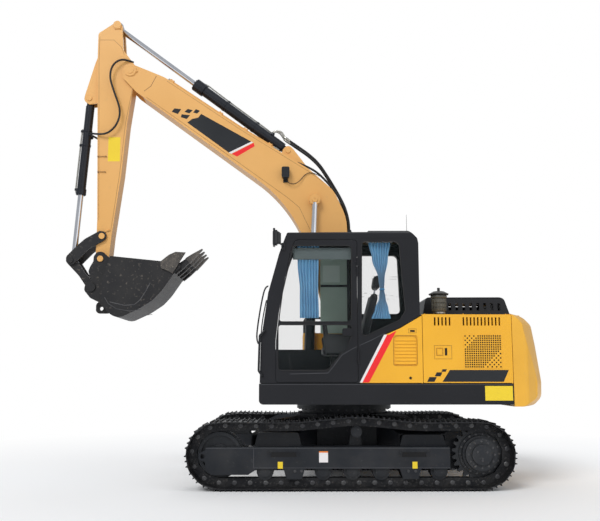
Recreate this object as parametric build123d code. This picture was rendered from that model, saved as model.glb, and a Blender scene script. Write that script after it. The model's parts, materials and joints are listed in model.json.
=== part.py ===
from build123d import *
import os
from math import acos, atan2, cos, degrees, hypot, pi, radians, sin, sqrt

# A crawler excavator of the 13.5 tonne class, in millimetres.
# The origin is on the slewing axis at ground level. +Z is up, the machine
# faces -X, and its left side, with the cab, is -Y.

# Clearances
SEAT_GAP = 0.3
PIN_PLAY = 0.05
DOOR_GAP = 5.0

# Crawler tracks
TRACK_GAUGE = 1990.0
SHOE_WIDTH = 500.0
TUMBLER_DISTANCE = 2900.0
PITCH_RADIUS = 313.0
SHOE_COUNT = 45
SHOE_PLATE = 12.0
GROUSER_HEIGHT = 20.0
GROUSER_SPACING = 57.0
GROUSER_FOOT = 18.0
GROUSER_TIP = 9.0
LINK_OUT = 38.0
LINK_IN = 55.0
LINK_INNER_OFFSET = 35.0
LINK_WIDTH = 35.0
TRACK_SAG = 9.0
SAG_REACH = 690.0
CARRIER_X = 75.0
CARRIER_RISE = 49.0
CARRIER_FLAT = 90.0

# Track frames, rollers, idlers and drives
FRAME_HALF_WIDTH = 135.0
FRAME_PLATE = 22.0
FRAME_BOTTOM = 229.0
FRAME_TOP = 465.0
FRAME_FRONT_X = -TUMBLER_DISTANCE / 2 - 154.0
FRAME_COVER_X = -TUMBLER_DISTANCE / 2 + 381.0
FRAME_REAR_X = TUMBLER_DISTANCE / 2 - 345.0
ROLLER_RADIUS = 75.0
ROLLER_FLANGE = 20.0
ROLLER_WAIST = 60.0
ROLLER_COUNT = 7
ROLLER_FIRST_X = -TUMBLER_DISTANCE / 2 + 508.0
ROLLER_LAST_X = TUMBLER_DISTANCE / 2 - 463.0
CARRIER_RADIUS = 62.0
SPROCKET_TEETH = 23
SPROCKET_TIP = 305.0
SPROCKET_ROOT = 262.0
SPROCKET_HALF_WIDTH = 22.0
DRIVE_FLANGE = 228.0
DRIVE_COVER = 200.0

# Car body and slewing ring
CAR_BODY_BOTTOM = 420.0
CAR_BODY_TOP = 800.0
CAR_BODY_HALF = 560.0
LEG_PLATE = 16.0
RING_RADIUS = 585.0
RING_LOWER_RADIUS = 525.0
RING_BORE = 400.0
RING_SPLIT_Z = 850.0

# Revolving upper frame
DECK_BOTTOM = 931.0
DECK_TOP = 1162.0
DECK_FRONT_X = -1011.0
HOUSE_HALF_WIDTH = 1245.0
DECK_PLATE = 9.0
CENTRE_HALF_WIDTH = 310.0
BASE_PLATE = 22.0
BAY_FRONT_X = 810.0
TAIL_RADIUS = 2387.0
COUNTERWEIGHT_X = TAIL_RADIUS - 575.0
BODY_TOP = 1930.0
TANK_WALL = 8.0
FUEL_TANK_TOP = 1800.0
HYDRAULIC_TANK_TOP = 1880.0
TOOL_BOX_TOP = 1500.0
LID_SHEET = 26.0

# Engine hood
HOOD_HALF = 650.0
HOOD_TOP = 2186.0
HOOD_FRONT_X = BAY_FRONT_X + 95.0
HOOD_REAR_X = COUNTERWEIGHT_X + 156.0
HOOD_LOUVRES = 10

# Counterweight
COUNTERWEIGHT_WALL = 75.0
COUNTERWEIGHT_CORNER = 130.0

# Cab
CAB_RIGHT_Y = -300.0
CAB_WALL = 42.0
CAB_ROOF_Z = 2795.0
CAB_REAR_X = 785.0
GLASS = 6.0
DOOR_REAR_X = 85.0
HINGE_OUTSET = 6.0

# Boom
BOOM_HALF_WIDTH = 155.0
BOOM_SIDE_PLATE = 12.0
BOOM_EDGE_PLATE = 16.0
BOOM_FORK_REACH = 400.0
BOOM_END_WALL = 25.0
FORK_CHEEK = 28.0

# Arm
ARM_HALF_WIDTH = 120.0
ARM_PLATE = 12.0
ARM_EAR_IN = 62.0

# Pins: place in the XZ plane
BOOM_FOOT = (0.0, 1540.0)
ARM_PIVOT = (-2775.0, 5208.0)
BUCKET_PIVOT = (-3070.0, 2708.0)
ROCKER_PIVOT = (-3070.0, 3004.0)
ROCKER_END = (-3456.0, 2697.0)
LINK_END = (-3176.0, 2347.0)
BOOM_CYL_FOOT = (-450.0, 1140.0)
BOOM_CYL_EYE = (-361.0, 3464.0)
ARM_CYL_FOOT = (-705.0, 4150.0)
ARM_CYL_EYE = (-2970.0, 5850.0)
BUCKET_CYL_FOOT = (-3312.0, 4850.0)

# Pin radii
BOOM_PIN = 45.0
CYL_PIN = 32.0
BUCKET_PIN = 38.0

# Layers across the bucket linkage, from the middle outwards
EYE_HALF_WIDTH = 50.0
LINK_ARM_IN = 80.0
LINK_ARM_OUT = 120.0
ROCKER_IN = 127.0
ROCKER_PLATE = 25.0
EAR_IN = 156.0
EAR_PLATE = 30.0

# Bucket
BUCKET_HALF_WIDTH = 400.0
BUCKET_SIDE_PLATE = 16.0
BUCKET_SKIN = 14.0
TOOTH_COUNT = 4
TOOTH_WIDTH = 62.0
LIFT_EYE = (-3073.0, 2091.0)
LIFT_EYE_HOLE = 25.0
LIFT_EYE_RADIUS = 70.0
LIFT_EYE_PLATE = 40.0


# Basic shapes

def corner_reach(points, i):
    """How far the arc of corner i reaches along its edges."""
    x, y, radius = points[i]
    if radius == 0:
        return 0.0
    xa, ya = points[i - 1][:2]
    xb, yb = points[(i + 1) % len(points)][:2]
    before = Vector(xa - x, ya - y).normalized()
    after = Vector(xb - x, yb - y).normalized()
    half = acos(max(-1.0, min(1.0, before.dot(after)))) / 2
    return radius * cos(half) / sin(half)


def fitted(points):
    """The outline with its corner radii cut down to the length of its edges."""
    count = len(points)
    reaches = [corner_reach(points, i) for i in range(count)]
    shares = [1.0] * count
    for i in range(count):
        j = (i + 1) % count
        length = hypot(points[j][0] - points[i][0], points[j][1] - points[i][1])
        wanted = reaches[i] + reaches[j]
        if wanted > length * 0.98:
            share = length * 0.98 / wanted
            shares[i] = min(shares[i], share)
            shares[j] = min(shares[j], share)
    return [(p[0], p[1], p[2] * share) for p, share in zip(points, shares)]


def corner_edges(points):
    """Edges of a closed outline whose rows are x, y and corner radius."""
    points = fitted(points)
    runs = []
    count = len(points)
    for i in range(count):
        x, y, radius = points[i]
        if radius == 0:
            runs.append(((x, y), (x, y), None))
            continue
        xa, ya = points[i - 1][:2]
        xb, yb = points[(i + 1) % count][:2]
        ua = Vector(xa - x, ya - y).normalized()
        ub = Vector(xb - x, yb - y).normalized()
        half = acos(max(-1.0, min(1.0, ua.dot(ub)))) / 2
        reach = corner_reach(points, i)
        middle = (ua + ub).normalized()
        depth = radius / sin(half) - radius
        start = (x + ua.X * reach, y + ua.Y * reach)
        end = (x + ub.X * reach, y + ub.Y * reach)
        runs.append((start, end, (x + middle.X * depth, y + middle.Y * depth)))
    edges = []
    for i in range(count):
        start, end, middle = runs[i]
        if middle is not None:
            edges.append(ThreePointArc(start, middle, end))
        following = runs[(i + 1) % count][0]
        if hypot(following[0] - end[0], following[1] - end[1]) > 1e-6:
            edges.append(Line(end, following))
    return edges


def outline_face(points):
    """A flat face from rows of x and y, with an optional corner radius."""
    rows = [(p[0], p[1], p[2] if len(p) > 2 else 0) for p in points]
    return make_face(Wire(corner_edges(rows)).edges())


def prism_y(points, y_low, y_high):
    """An outline in X and Z, carried from y_low to y_high."""
    plane = Plane((0, y_high, 0), x_dir=(1, 0, 0), z_dir=(0, -1, 0))
    return extrude(plane * outline_face(points), y_high - y_low)


def prism_z(points, z_low, z_high):
    """An outline in X and Y, carried from z_low to z_high."""
    return extrude(Plane((0, 0, z_low)) * outline_face(points), z_high - z_low)


def prism_x(points, x_low, x_high):
    """An outline in Y and Z, carried from x_low to x_high."""
    plane = Plane((x_low, 0, 0), x_dir=(0, 1, 0), z_dir=(1, 0, 0))
    return extrude(plane * outline_face(points), x_high - x_low)


def block(x_low, x_high, y_low, y_high, z_low, z_high):
    """A box from its low and high corners."""
    size = (x_high - x_low, y_high - y_low, z_high - z_low)
    centre = ((x_low + x_high) / 2, (y_low + y_high) / 2, (z_low + z_high) / 2)
    return Pos(*centre) * Box(*size)


def disc_y(centre, radius, y_low, y_high):
    """A round bar along Y about a point in X and Z."""
    if y_low > y_high:
        y_low, y_high = y_high, y_low
    place = Pos(centre[0], (y_low + y_high) / 2, centre[1]) * Rot(90, 0, 0)
    return place * Cylinder(radius, y_high - y_low)


def disc_z(centre, radius, z_low, z_high):
    """A round bar along Z about a point in X and Y."""
    return Pos(centre[0], centre[1], (z_low + z_high) / 2) * Cylinder(radius, z_high - z_low)


def bar(start, end, radius):
    """A round bar between two points in space."""
    direction = Vector(*end) - Vector(*start)
    plane = Plane(start, z_dir=direction)
    return extrude(plane * Circle(radius), direction.length)


def tube(points, radii, radius):
    """A bent rod along straight runs joined by arcs."""
    path = FilletPolyline(*points, radius=radii)
    start = Plane(points[0], z_dir=Vector(*points[1]) - Vector(*points[0]))
    return sweep(start * Circle(radius), path=path)


def inset(points, depth):
    """The same outline moved inwards by depth. Rows run clockwise or not."""
    area = 0
    count = len(points)
    for i in range(count):
        xa, ya = points[i][:2]
        xb, yb = points[(i + 1) % count][:2]
        area += xa * yb - xb * ya
    turn = 1 if area > 0 else -1
    rows = []
    for i in range(count):
        x, y = points[i][:2]
        xa, ya = points[i - 1][:2]
        xb, yb = points[(i + 1) % count][:2]
        before = Vector(x - xa, y - ya).normalized()
        after = Vector(xb - x, yb - y).normalized()
        na = Vector(-before.Y * turn, before.X * turn)
        nb = Vector(-after.Y * turn, after.X * turn)
        middle = (na + nb).normalized()
        reach = depth / middle.dot(na)
        radius = points[i][2] if len(points[i]) > 2 else 0
        convex = (before.X * after.Y - before.Y * after.X) * turn > 0
        radius = max(0, radius - depth) if convex else (radius + depth if radius else 0)
        rows.append((x + middle.X * reach, y + middle.Y * reach, radius))
    return rows


def mirrored(shape):
    """The same shape on the other side of the machine."""
    return mirror(shape, about=Plane.XZ)


def both_sides(shape):
    """A shape and its mirror image."""
    return [shape, mirrored(shape)]


def joined(*shapes):
    """One body from shapes that touch or overlap."""
    whole = shapes[0]
    for shape in shapes[1:]:
        whole = whole + shape
    return whole


def apart(start, end):
    """The distance between two points in the XZ plane."""
    return hypot(end[0] - start[0], end[1] - start[1])


def along(start, end, distance, aside=0.0):
    """A point on the line from start to end, and aside to its left."""
    length = apart(start, end)
    ux = (end[0] - start[0]) / length
    uz = (end[1] - start[1]) / length
    return (start[0] + ux * distance - uz * aside, start[1] + uz * distance + ux * aside)


# Crawler tracks

TRACK_BASE = GROUSER_HEIGHT + SHOE_PLATE + LINK_OUT
TUMBLER_Z = TRACK_BASE + PITCH_RADIUS
IDLER_X = -TUMBLER_DISTANCE / 2
SPROCKET_X = TUMBLER_DISTANCE / 2
PIN_TOP = TUMBLER_Z + PITCH_RADIUS
TRACK_Y = TRACK_GAUGE / 2


def pin_line(distance):
    """The point of the closed pin line at a distance, and the whole length."""
    top = [
        (IDLER_X, PIN_TOP),
        (CARRIER_X - SAG_REACH, PIN_TOP - TRACK_SAG),
        (CARRIER_X - CARRIER_FLAT, PIN_TOP + CARRIER_RISE),
        (CARRIER_X + CARRIER_FLAT, PIN_TOP + CARRIER_RISE),
        (CARRIER_X + SAG_REACH, PIN_TOP - TRACK_SAG),
        (SPROCKET_X, PIN_TOP),
    ]
    arc = pi * PITCH_RADIUS
    runs = [apart(top[i], top[i + 1]) for i in range(len(top) - 1)]
    total = sum(runs) + 2 * arc + TUMBLER_DISTANCE
    left = distance % total
    for i, run in enumerate(runs):
        if left <= run:
            return along(top[i], top[i + 1], left), total
        left -= run
    if left <= arc:
        turn = pi / 2 - left / PITCH_RADIUS
        return (SPROCKET_X + PITCH_RADIUS * cos(turn), TUMBLER_Z + PITCH_RADIUS * sin(turn)), total
    left -= arc
    if left <= TUMBLER_DISTANCE:
        return (SPROCKET_X - left, TRACK_BASE), total
    left -= TUMBLER_DISTANCE
    turn = -pi / 2 - left / PITCH_RADIUS
    return (IDLER_X + PITCH_RADIUS * cos(turn), TUMBLER_Z + PITCH_RADIUS * sin(turn)), total


def track_pins():
    """The pins of one track, clockwise in the side view from the left."""
    total = pin_line(0)[1]
    pitch = total / SHOE_COUNT
    start = (CARRIER_X - IDLER_X) - pitch / 2
    return [pin_line(start + pitch * i)[0] for i in range(SHOE_COUNT)]


def loop_beside(pins, height):
    """A closed outline that stands off the pin line by height."""
    rows = []
    count = len(pins)
    for i in range(count):
        before = Vector(pins[i][0] - pins[i - 1][0], pins[i][1] - pins[i - 1][1]).normalized()
        following = pins[(i + 1) % count]
        after = Vector(following[0] - pins[i][0], following[1] - pins[i][1]).normalized()
        if abs(before.X * after.Y - before.Y * after.X) < 1e-4:
            continue
        na = Vector(-before.Y, before.X)
        nb = Vector(-after.Y, after.X)
        middle = (na + nb).normalized()
        reach = height / middle.dot(na)
        rows.append((pins[i][0] + middle.X * reach, pins[i][1] + middle.Y * reach))
    return rows


def shoe_outline(pins):
    """The outer outline of the shoes, three grousers to a shoe."""
    plate = LINK_OUT + SHOE_PLATE
    tip = plate + GROUSER_HEIGHT
    rows = []
    count = len(pins)
    for i in range(count):
        a = pins[i]
        b = pins[(i + 1) % count]
        middle = apart(a, b) / 2
        for step in (-1, 0, 1):
            place = middle + step * GROUSER_SPACING
            rows.append(along(a, b, place - GROUSER_FOOT / 2, plate))
            rows.append(along(a, b, place - GROUSER_TIP / 2, tip))
            rows.append(along(a, b, place + GROUSER_TIP / 2, tip))
            rows.append(along(a, b, place + GROUSER_FOOT / 2, plate))
    return rows


def track_shoes():
    """The belt of shoes of the left track."""
    pins = track_pins()
    y_low = -TRACK_Y - SHOE_WIDTH / 2
    y_high = -TRACK_Y + SHOE_WIDTH / 2
    outside = prism_y(shoe_outline(pins), y_low, y_high)
    inside = prism_y(loop_beside(pins, LINK_OUT), y_low - 1, y_high + 1)
    return outside - inside


def track_chain():
    """The two rows of links of the left track."""
    pins = track_pins()
    outer = loop_beside(pins, LINK_OUT)
    inner = loop_beside(pins, -LINK_IN)
    rows = []
    for side in (-1, 1):
        y_a = -TRACK_Y + side * LINK_INNER_OFFSET
        y_b = -TRACK_Y + side * (LINK_INNER_OFFSET + LINK_WIDTH)
        y_low = min(y_a, y_b)
        y_high = max(y_a, y_b)
        rows.append(prism_y(outer, y_low, y_high) - prism_y(inner, y_low - 1, y_high + 1))
    return rows


# Track frames, rollers, idlers and drives. Offsets across the track are
# measured outwards from the chain's middle.

ROLLER_Z = TRACK_BASE + LINK_IN + SEAT_GAP + ROLLER_RADIUS
RAIL_FLAT = sqrt(PITCH_RADIUS ** 2 - (pi * PITCH_RADIUS / 11) ** 2)
IDLER_RADIUS = RAIL_FLAT - LINK_IN - 2.0
FRAME_INNER = FRAME_HALF_WIDTH - FRAME_PLATE
LINK_OUTER_OFFSET = LINK_INNER_OFFSET + LINK_WIDTH
DRIVE_CENTRE = (SPROCKET_X, TUMBLER_Z)
IDLER_CENTRE = (IDLER_X, TUMBLER_Z)
CARRIER_CENTRE = (CARRIER_X, PIN_TOP + CARRIER_RISE - LINK_IN - SEAT_GAP - CARRIER_RADIUS)


def left_disc(centre, radius, offset_a, offset_b):
    """A round bar in the left track between two offsets."""
    return disc_y(centre, radius, -TRACK_Y - offset_a, -TRACK_Y - offset_b)


def left_prism(points, offset_a, offset_b):
    """A side outline in the left track between two offsets."""
    low = min(-TRACK_Y - offset_a, -TRACK_Y - offset_b)
    high = max(-TRACK_Y - offset_a, -TRACK_Y - offset_b)
    return prism_y(points, low, high)


def track_frame():
    """The left track frame: two side plates, a top and the drive's ring."""
    front = FRAME_FRONT_X
    side = [
        (front + 60, 165, 40),
        (front, 250, 40),
        (front, FRAME_TOP, 40),
        (FRAME_REAR_X, FRAME_TOP, 20),
        (FRAME_REAR_X, FRAME_BOTTOM, 20),
        (FRAME_COVER_X + 40, FRAME_BOTTOM, 20),
        (FRAME_COVER_X - 60, 165, 40),
    ]
    outer = left_prism(side, FRAME_INNER, FRAME_HALF_WIDTH)
    inner = left_prism(side, -FRAME_INNER, -FRAME_HALF_WIDTH)
    arm = [
        (FRAME_REAR_X - 200, FRAME_TOP, 0),
        (SPROCKET_X, FRAME_TOP + 140, 60),
        (SPROCKET_X + 180, FRAME_TOP + 20, 80),
        (SPROCKET_X + 180, TUMBLER_Z - 110, 80),
        (SPROCKET_X, FRAME_BOTTOM - 50, 60),
        (FRAME_REAR_X - 200, FRAME_BOTTOM, 0),
    ]
    carrier = left_prism(arm, -FRAME_INNER, -FRAME_HALF_WIDTH)
    top_low = FRAME_TOP - FRAME_PLATE
    y_low = -TRACK_Y - FRAME_INNER
    y_high = -TRACK_Y + FRAME_INNER
    top = block(FRAME_COVER_X - 60, FRAME_REAR_X, y_low, y_high, top_low, FRAME_TOP)
    box = left_prism([
        (FRAME_COVER_X, FRAME_TOP),
        (FRAME_COVER_X + 531, FRAME_TOP),
        (FRAME_COVER_X + 494, FRAME_TOP + 147, 30),
        (FRAME_COVER_X + 39, FRAME_TOP + 147, 30),
    ], -FRAME_HALF_WIDTH, -30)
    guard = left_prism([
        (FRAME_REAR_X - 533, FRAME_TOP),
        (FRAME_REAR_X - 10, FRAME_TOP),
        (FRAME_REAR_X - 45, FRAME_TOP + 122, 25),
        (FRAME_REAR_X - 495, FRAME_TOP + 122, 25),
    ], -FRAME_HALF_WIDTH, -30)
    eyes = left_prism(
        [(front, 300), (front - 70, 330, 30), (front - 70, 400, 30), (front, 430)], 118, FRAME_HALF_WIDTH)
    hole = left_disc((front - 32, 365), 25, 110, 140)
    return joined(outer, inner, carrier, top, box, guard, eyes, *roller_guards()) - hole


def track_rollers():
    """The lower rollers of the left track."""
    step = (ROLLER_LAST_X - ROLLER_FIRST_X) / (ROLLER_COUNT - 1)
    rollers = []
    for i in range(ROLLER_COUNT):
        centre = (ROLLER_FIRST_X + step * i, ROLLER_Z)
        waist = left_disc(centre, ROLLER_WAIST, -FRAME_INNER + 2, FRAME_INNER - 2)
        parts = [waist]
        for side in (-1, 1):
            tread = left_disc(centre, ROLLER_RADIUS, side * (LINK_INNER_OFFSET - 5), side * 98)
            flange_in = side * (LINK_OUTER_OFFSET + 4)
            flange = left_disc(centre, ROLLER_RADIUS + ROLLER_FLANGE, flange_in, side * 90)
            axle = left_disc(centre, 34, side * (FRAME_INNER - 3), side * (FRAME_INNER - SEAT_GAP))
            parts += [tread, flange, axle]
        rollers.append(joined(*parts))
    return rollers


def carrier_roller():
    """The upper roller of the left track with its bracket."""
    roller = left_disc(CARRIER_CENTRE, CARRIER_RADIUS - 14, -80, 84)
    for side in (-1, 1):
        tread_in = side * (LINK_INNER_OFFSET - 5)
        tread = left_disc(CARRIER_CENTRE, CARRIER_RADIUS, tread_in, side * (LINK_OUTER_OFFSET + 8))
        roller = roller + tread
    axle = left_disc(CARRIER_CENTRE, 26, -132, -70)
    bracket = left_prism([
        (CARRIER_X - 75, FRAME_TOP + SEAT_GAP),
        (CARRIER_X + 75, FRAME_TOP + SEAT_GAP),
        (CARRIER_X + 42, CARRIER_CENTRE[1] + 42, 30),
        (CARRIER_X - 42, CARRIER_CENTRE[1] + 42, 30),
    ], -FRAME_HALF_WIDTH + 2, -98)
    return joined(roller, axle, bracket)


def roller_guards():
    """Chain guides under the left track frame, outside the rollers."""
    step = (ROLLER_LAST_X - ROLLER_FIRST_X) / (ROLLER_COUNT - 1)
    guards = []
    for index in (1, 5):
        x = ROLLER_FIRST_X + step * index
        shape = [
            (x - 120, FRAME_BOTTOM + 5),
            (x + 120, FRAME_BOTTOM + 5),
            (x + 85, 118, 20),
            (x - 85, 118, 20),
        ]
        for side in (-1, 1):
            guards.append(left_prism(shape, side * FRAME_HALF_WIDTH, side * FRAME_INNER))
    return guards


def idler():
    """The front idler of the left track."""
    wheel = left_disc(IDLER_CENTRE, IDLER_RADIUS, -LINK_OUTER_OFFSET - 5, LINK_OUTER_OFFSET + 5)
    rib = left_disc(IDLER_CENTRE, IDLER_RADIUS + 22, -LINK_INNER_OFFSET + 5, LINK_INNER_OFFSET - 5)
    hub = left_disc(IDLER_CENTRE, 85, -FRAME_INNER + SEAT_GAP, FRAME_INNER - SEAT_GAP)
    idler_body = joined(wheel, rib, hub)
    for side in (-1, 1):
        dish = left_disc(IDLER_CENTRE, IDLER_RADIUS - 38, side * 45, side * 90) - left_disc(
            IDLER_CENTRE, 110, side * 40, side * 95)
        idler_body = idler_body - dish
    return idler_body


def sprocket():
    """The drive sprocket of the left track."""
    step = 360 / SPROCKET_TEETH
    # Corners of a tooth: place in its step, radius.
    corners = ((-0.36, SPROCKET_ROOT), (-0.13, SPROCKET_TIP), (0.13, SPROCKET_TIP), (0.36, SPROCKET_ROOT))
    rows = []
    for i in range(SPROCKET_TEETH):
        for shift, radius in corners:
            angle = radians((i + shift) * step)
            rows.append((SPROCKET_X + radius * cos(angle), TUMBLER_Z + radius * sin(angle)))
    wheel = left_prism(rows, -SPROCKET_HALF_WIDTH, SPROCKET_HALF_WIDTH)
    return wheel - left_disc(DRIVE_CENTRE, DRIVE_COVER + SEAT_GAP, -40, 40)


def final_drive():
    """The left travel drive: hub and cover outside, motor inside the plate."""
    flange_in = SPROCKET_HALF_WIDTH + SEAT_GAP
    hub = left_disc(DRIVE_CENTRE, DRIVE_COVER, -FRAME_INNER + SEAT_GAP, 105)
    flange = left_disc(DRIVE_CENTRE, DRIVE_FLANGE, flange_in, flange_in + 26)
    cover = left_disc(DRIVE_CENTRE, DRIVE_COVER - 25, 100, 160)
    cap = left_disc(DRIVE_CENTRE, 110, 155, 195)
    outside = joined(hub, flange, cover, cap)
    motor = left_disc(DRIVE_CENTRE, 120, -FRAME_HALF_WIDTH - SEAT_GAP, -235)
    return [outside, motor]


# Car body and slewing ring

def car_body_leg(depth):
    """One leg of the X-shaped car body, inset by depth."""
    plan = [
        (180 + depth, 300),
        (560 - depth, 250 + depth),
        (620 - depth, 320),
        (1117 - depth, TRACK_Y - FRAME_HALF_WIDTH - SEAT_GAP),
        (572 + depth, TRACK_Y - FRAME_HALF_WIDTH - SEAT_GAP),
    ]
    reach = TRACK_Y - FRAME_HALF_WIDTH - SEAT_GAP
    profile = [
        (250, CAR_BODY_BOTTOM + depth),
        (250, CAR_BODY_TOP - 30 - depth),
        (560, CAR_BODY_TOP - 60 - depth),
        (reach, 590 - depth),
        (reach, 330 + depth),
        (700, 340 + depth),
    ]
    return prism_z(plan, 0, CAR_BODY_TOP) & prism_x(profile, 0, 1200)


def car_body():
    """The car body: a hollow centre with four hollow legs."""
    half = CAR_BODY_HALF
    cut = half - 210
    plan = [
        (-half, -cut), (-cut, -half), (cut, -half), (half, -cut),
        (half, cut), (cut, half), (-cut, half), (-half, cut),
    ]
    body = prism_z(plan, CAR_BODY_BOTTOM, CAR_BODY_TOP)
    hollow = prism_z(inset(plan, LEG_PLATE), CAR_BODY_BOTTOM + LEG_PLATE, CAR_BODY_TOP - LEG_PLATE)
    leg = car_body_leg(0)
    space = car_body_leg(LEG_PLATE)
    for shape in (leg, mirrored(leg)):
        body = body + shape + mirror(shape, about=Plane.YZ)
    for shape in (space, mirrored(space)):
        hollow = hollow + shape + mirror(shape, about=Plane.YZ)
    hole = disc_z((0, 0), 180, CAR_BODY_BOTTOM - 5, CAR_BODY_TOP + 5)
    eye = prism_z(
        [(-half - 95, -45, 40), (-half - 95, 45, 40), (-half + 4, 90), (-half + 4, -90)], 560, 600)
    body = body - hollow - hole
    for shape in (eye, mirror(eye, about=Plane.YZ)):
        body = body + shape
    for x in (-half - 50, half + 50):
        body = body - disc_z((x, 0), 25, 550, 610)
    return body


def swing_ring_lower():
    """The fixed half of the slewing ring."""
    return disc_z((0, 0), RING_LOWER_RADIUS, CAR_BODY_TOP, RING_SPLIT_Z) - disc_z(
        (0, 0), RING_BORE, CAR_BODY_TOP - 1, RING_SPLIT_Z + 1)


def swing_ring_upper():
    """The turning half of the slewing ring."""
    low = RING_SPLIT_Z + SEAT_GAP
    ring = disc_z((0, 0), RING_RADIUS, low, DECK_BOTTOM)
    return ring - disc_z((0, 0), RING_BORE, low - 1, DECK_BOTTOM + 1)


# Revolving frame

def side_deck():
    """The hollow deck of the left side, with its black skirt."""
    inner_y = -CENTRE_HALF_WIDTH
    side = [
        (DECK_FRONT_X, DECK_TOP, 12),
        (COUNTERWEIGHT_X - 4, DECK_TOP, 0),
        (COUNTERWEIGHT_X - 4, DECK_BOTTOM, 0),
        (DECK_FRONT_X, DECK_BOTTOM, 50),
    ]
    deck = prism_y(side, -HOUSE_HALF_WIDTH, inner_y)
    hollow = prism_y(inset(side, DECK_PLATE), -HOUSE_HALF_WIDTH + DECK_PLATE, inner_y - DECK_PLATE)
    return deck - hollow


def boom_bracket():
    """One bracket plate that holds the boom's foot and a cylinder's foot."""
    fx, fz = BOOM_FOOT
    cx, cz = BOOM_CYL_FOOT
    deck = DECK_BOTTOM + BASE_PLATE
    shape = [
        (cx - 95, deck - 2),
        (cx - 72, cz + 20, 30),
        (cx - 30, cz + 74, 40),
        (cx + 60, cz + 70, 30),
        (cx + 110, cz + 50, 60),
        (fx - 215, fz - 190, 120),
        (fx - 118, fz + 75, 70),
        (fx, fz + 135, 90),
        (fx + 118, fz + 75, 70),
        (fx + 300, fz - 240, 200),
        (fx + 560, deck + 90, 60),
        (fx + 560, deck - 2),
    ]
    return shape


def revolving_frame():
    """The centre of the upper frame: base plate, boom brackets and pins."""
    half = CENTRE_HALF_WIDTH - SEAT_GAP
    top = DECK_BOTTOM + BASE_PLATE
    tail = COUNTERWEIGHT_X - SEAT_GAP
    base = block(-660, tail, -half, half, DECK_BOTTOM, top)
    bracket = prism_y(boom_bracket(), -185, -160)
    cx, cz = BOOM_CYL_FOOT
    lug = prism_y([
        (cx - 95, top - 2),
        (cx - 72, cz + 20, 30),
        (cx, cz + 92, 60),
        (cx + 72, cz + 20, 30),
        (cx + 120, top - 2),
    ], -286, -264)
    foot_pin = disc_y(BOOM_CYL_FOOT, CYL_PIN, -294, -150)
    cross = block(500, 530, -half, half, top - 2, DECK_TOP - 8)
    rear = block(tail - 36, tail, -half, half, top - 2, DECK_TOP)
    pin = disc_y(BOOM_FOOT, BOOM_PIN, -205, 205)
    frame = joined(base, cross, rear, pin)
    for shape in (bracket, lug, foot_pin):
        frame = frame + shape + mirrored(shape)
    return frame


def swing_motor():
    """The slewing motor between the boom brackets."""
    base_z = DECK_BOTTOM + BASE_PLATE + SEAT_GAP
    body = disc_z((330, 0), 125, base_z, base_z + 160)
    upper = disc_z((330, 0), 95, base_z + 150, base_z + 330)
    cap = block(265, 395, -70, 70, base_z + 320, base_z + 400)
    return joined(body, upper, cap)


def valve_cover():
    """The cover over the control valve, behind the boom's foot."""
    top = DECK_BOTTOM + BASE_PLATE + SEAT_GAP
    rear = BAY_FRONT_X - 30
    shape = [(566, top), (566, 1420, 60), (rear, 1500, 30), (rear, top)]
    half = CENTRE_HALF_WIDTH - 14
    cover = prism_y(shape, -half, half)
    space = [(560, top - 20), (580, 1405, 50), (rear - 14, 1480, 20), (rear - 14, top - 20)]
    return cover - prism_y(space, -half + DECK_PLATE, half - DECK_PLATE)


def engine_bay():
    """The frame of the engine bay: front wall, posts and rails."""
    front = BAY_FRONT_X - 4
    back = COUNTERWEIGHT_X - 6
    wide = HOUSE_HALF_WIDTH - 42
    top = BODY_TOP - 30
    wall = block(front - 14, front, -wide, wide, DECK_TOP + SEAT_GAP, top)
    gap_half = CENTRE_HALF_WIDTH - 12
    gap = block(front - 20, front + 6, -gap_half, gap_half, DECK_TOP - 10, 1512)
    frame = wall - gap
    for y_low, y_high in ((-wide, -wide + 60), (wide - 60, wide)):
        post = block(back - 60, back, y_low, y_high, DECK_TOP + SEAT_GAP, top)
        rail = block(front - 2, back, y_low, y_high, top - 50, top)
        frame = frame + post + rail
    for y in (-640, 600):
        frame = frame + block(front - 2, back, y, y + 40, top - 40, top)
    frame = frame + block(back - 60, back, -wide, wide, top - 50, top)
    return frame


def top_deck():
    """The yellow sheet over the engine bay, open under the hood."""
    low = BODY_TOP - 30
    wide = HOUSE_HALF_WIDTH - 34
    rear = COUNTERWEIGHT_X - 4
    plan = [(BAY_FRONT_X - 2, -wide), (rear, -wide), (rear, wide), (BAY_FRONT_X - 2, wide)]
    sheet = prism_z(plan, low + SEAT_GAP, BODY_TOP)
    sheet = sheet - prism_z(inset(plan, 14), low - 1, BODY_TOP - 8)
    half = HOOD_HALF - 50
    return sheet - block(HOOD_FRONT_X + 45, COUNTERWEIGHT_X - 70, -half, half, low - 5, BODY_TOP + 5)


def engine_block():
    """The engine, as one plain block."""
    base = DECK_BOTTOM + BASE_PLATE + SEAT_GAP
    half = CENTRE_HALF_WIDTH - 20
    return block(HOOD_FRONT_X + 75, COUNTERWEIGHT_X - 252, -half, half, base, 1720)


# Counterweight

def tail_profile(depth):
    """The counterweight's section, as rows of radius, height and corner."""
    reach = TAIL_RADIUS
    top = BODY_TOP + 12
    inside = COUNTERWEIGHT_X - 312
    low = DECK_BOTTOM - 22
    rows = [
        (inside, low),
        (reach - 90, low, 70),
        (reach - 6, low + 91, 120),
        (reach, low + 263, 300),
        (reach - 54, low + 676, 400),
        (reach - 95, top - 107, 110),
        (reach - 190, top, 140),
        (inside, top),
    ]
    return inset(rows, depth) if depth else rows


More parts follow.
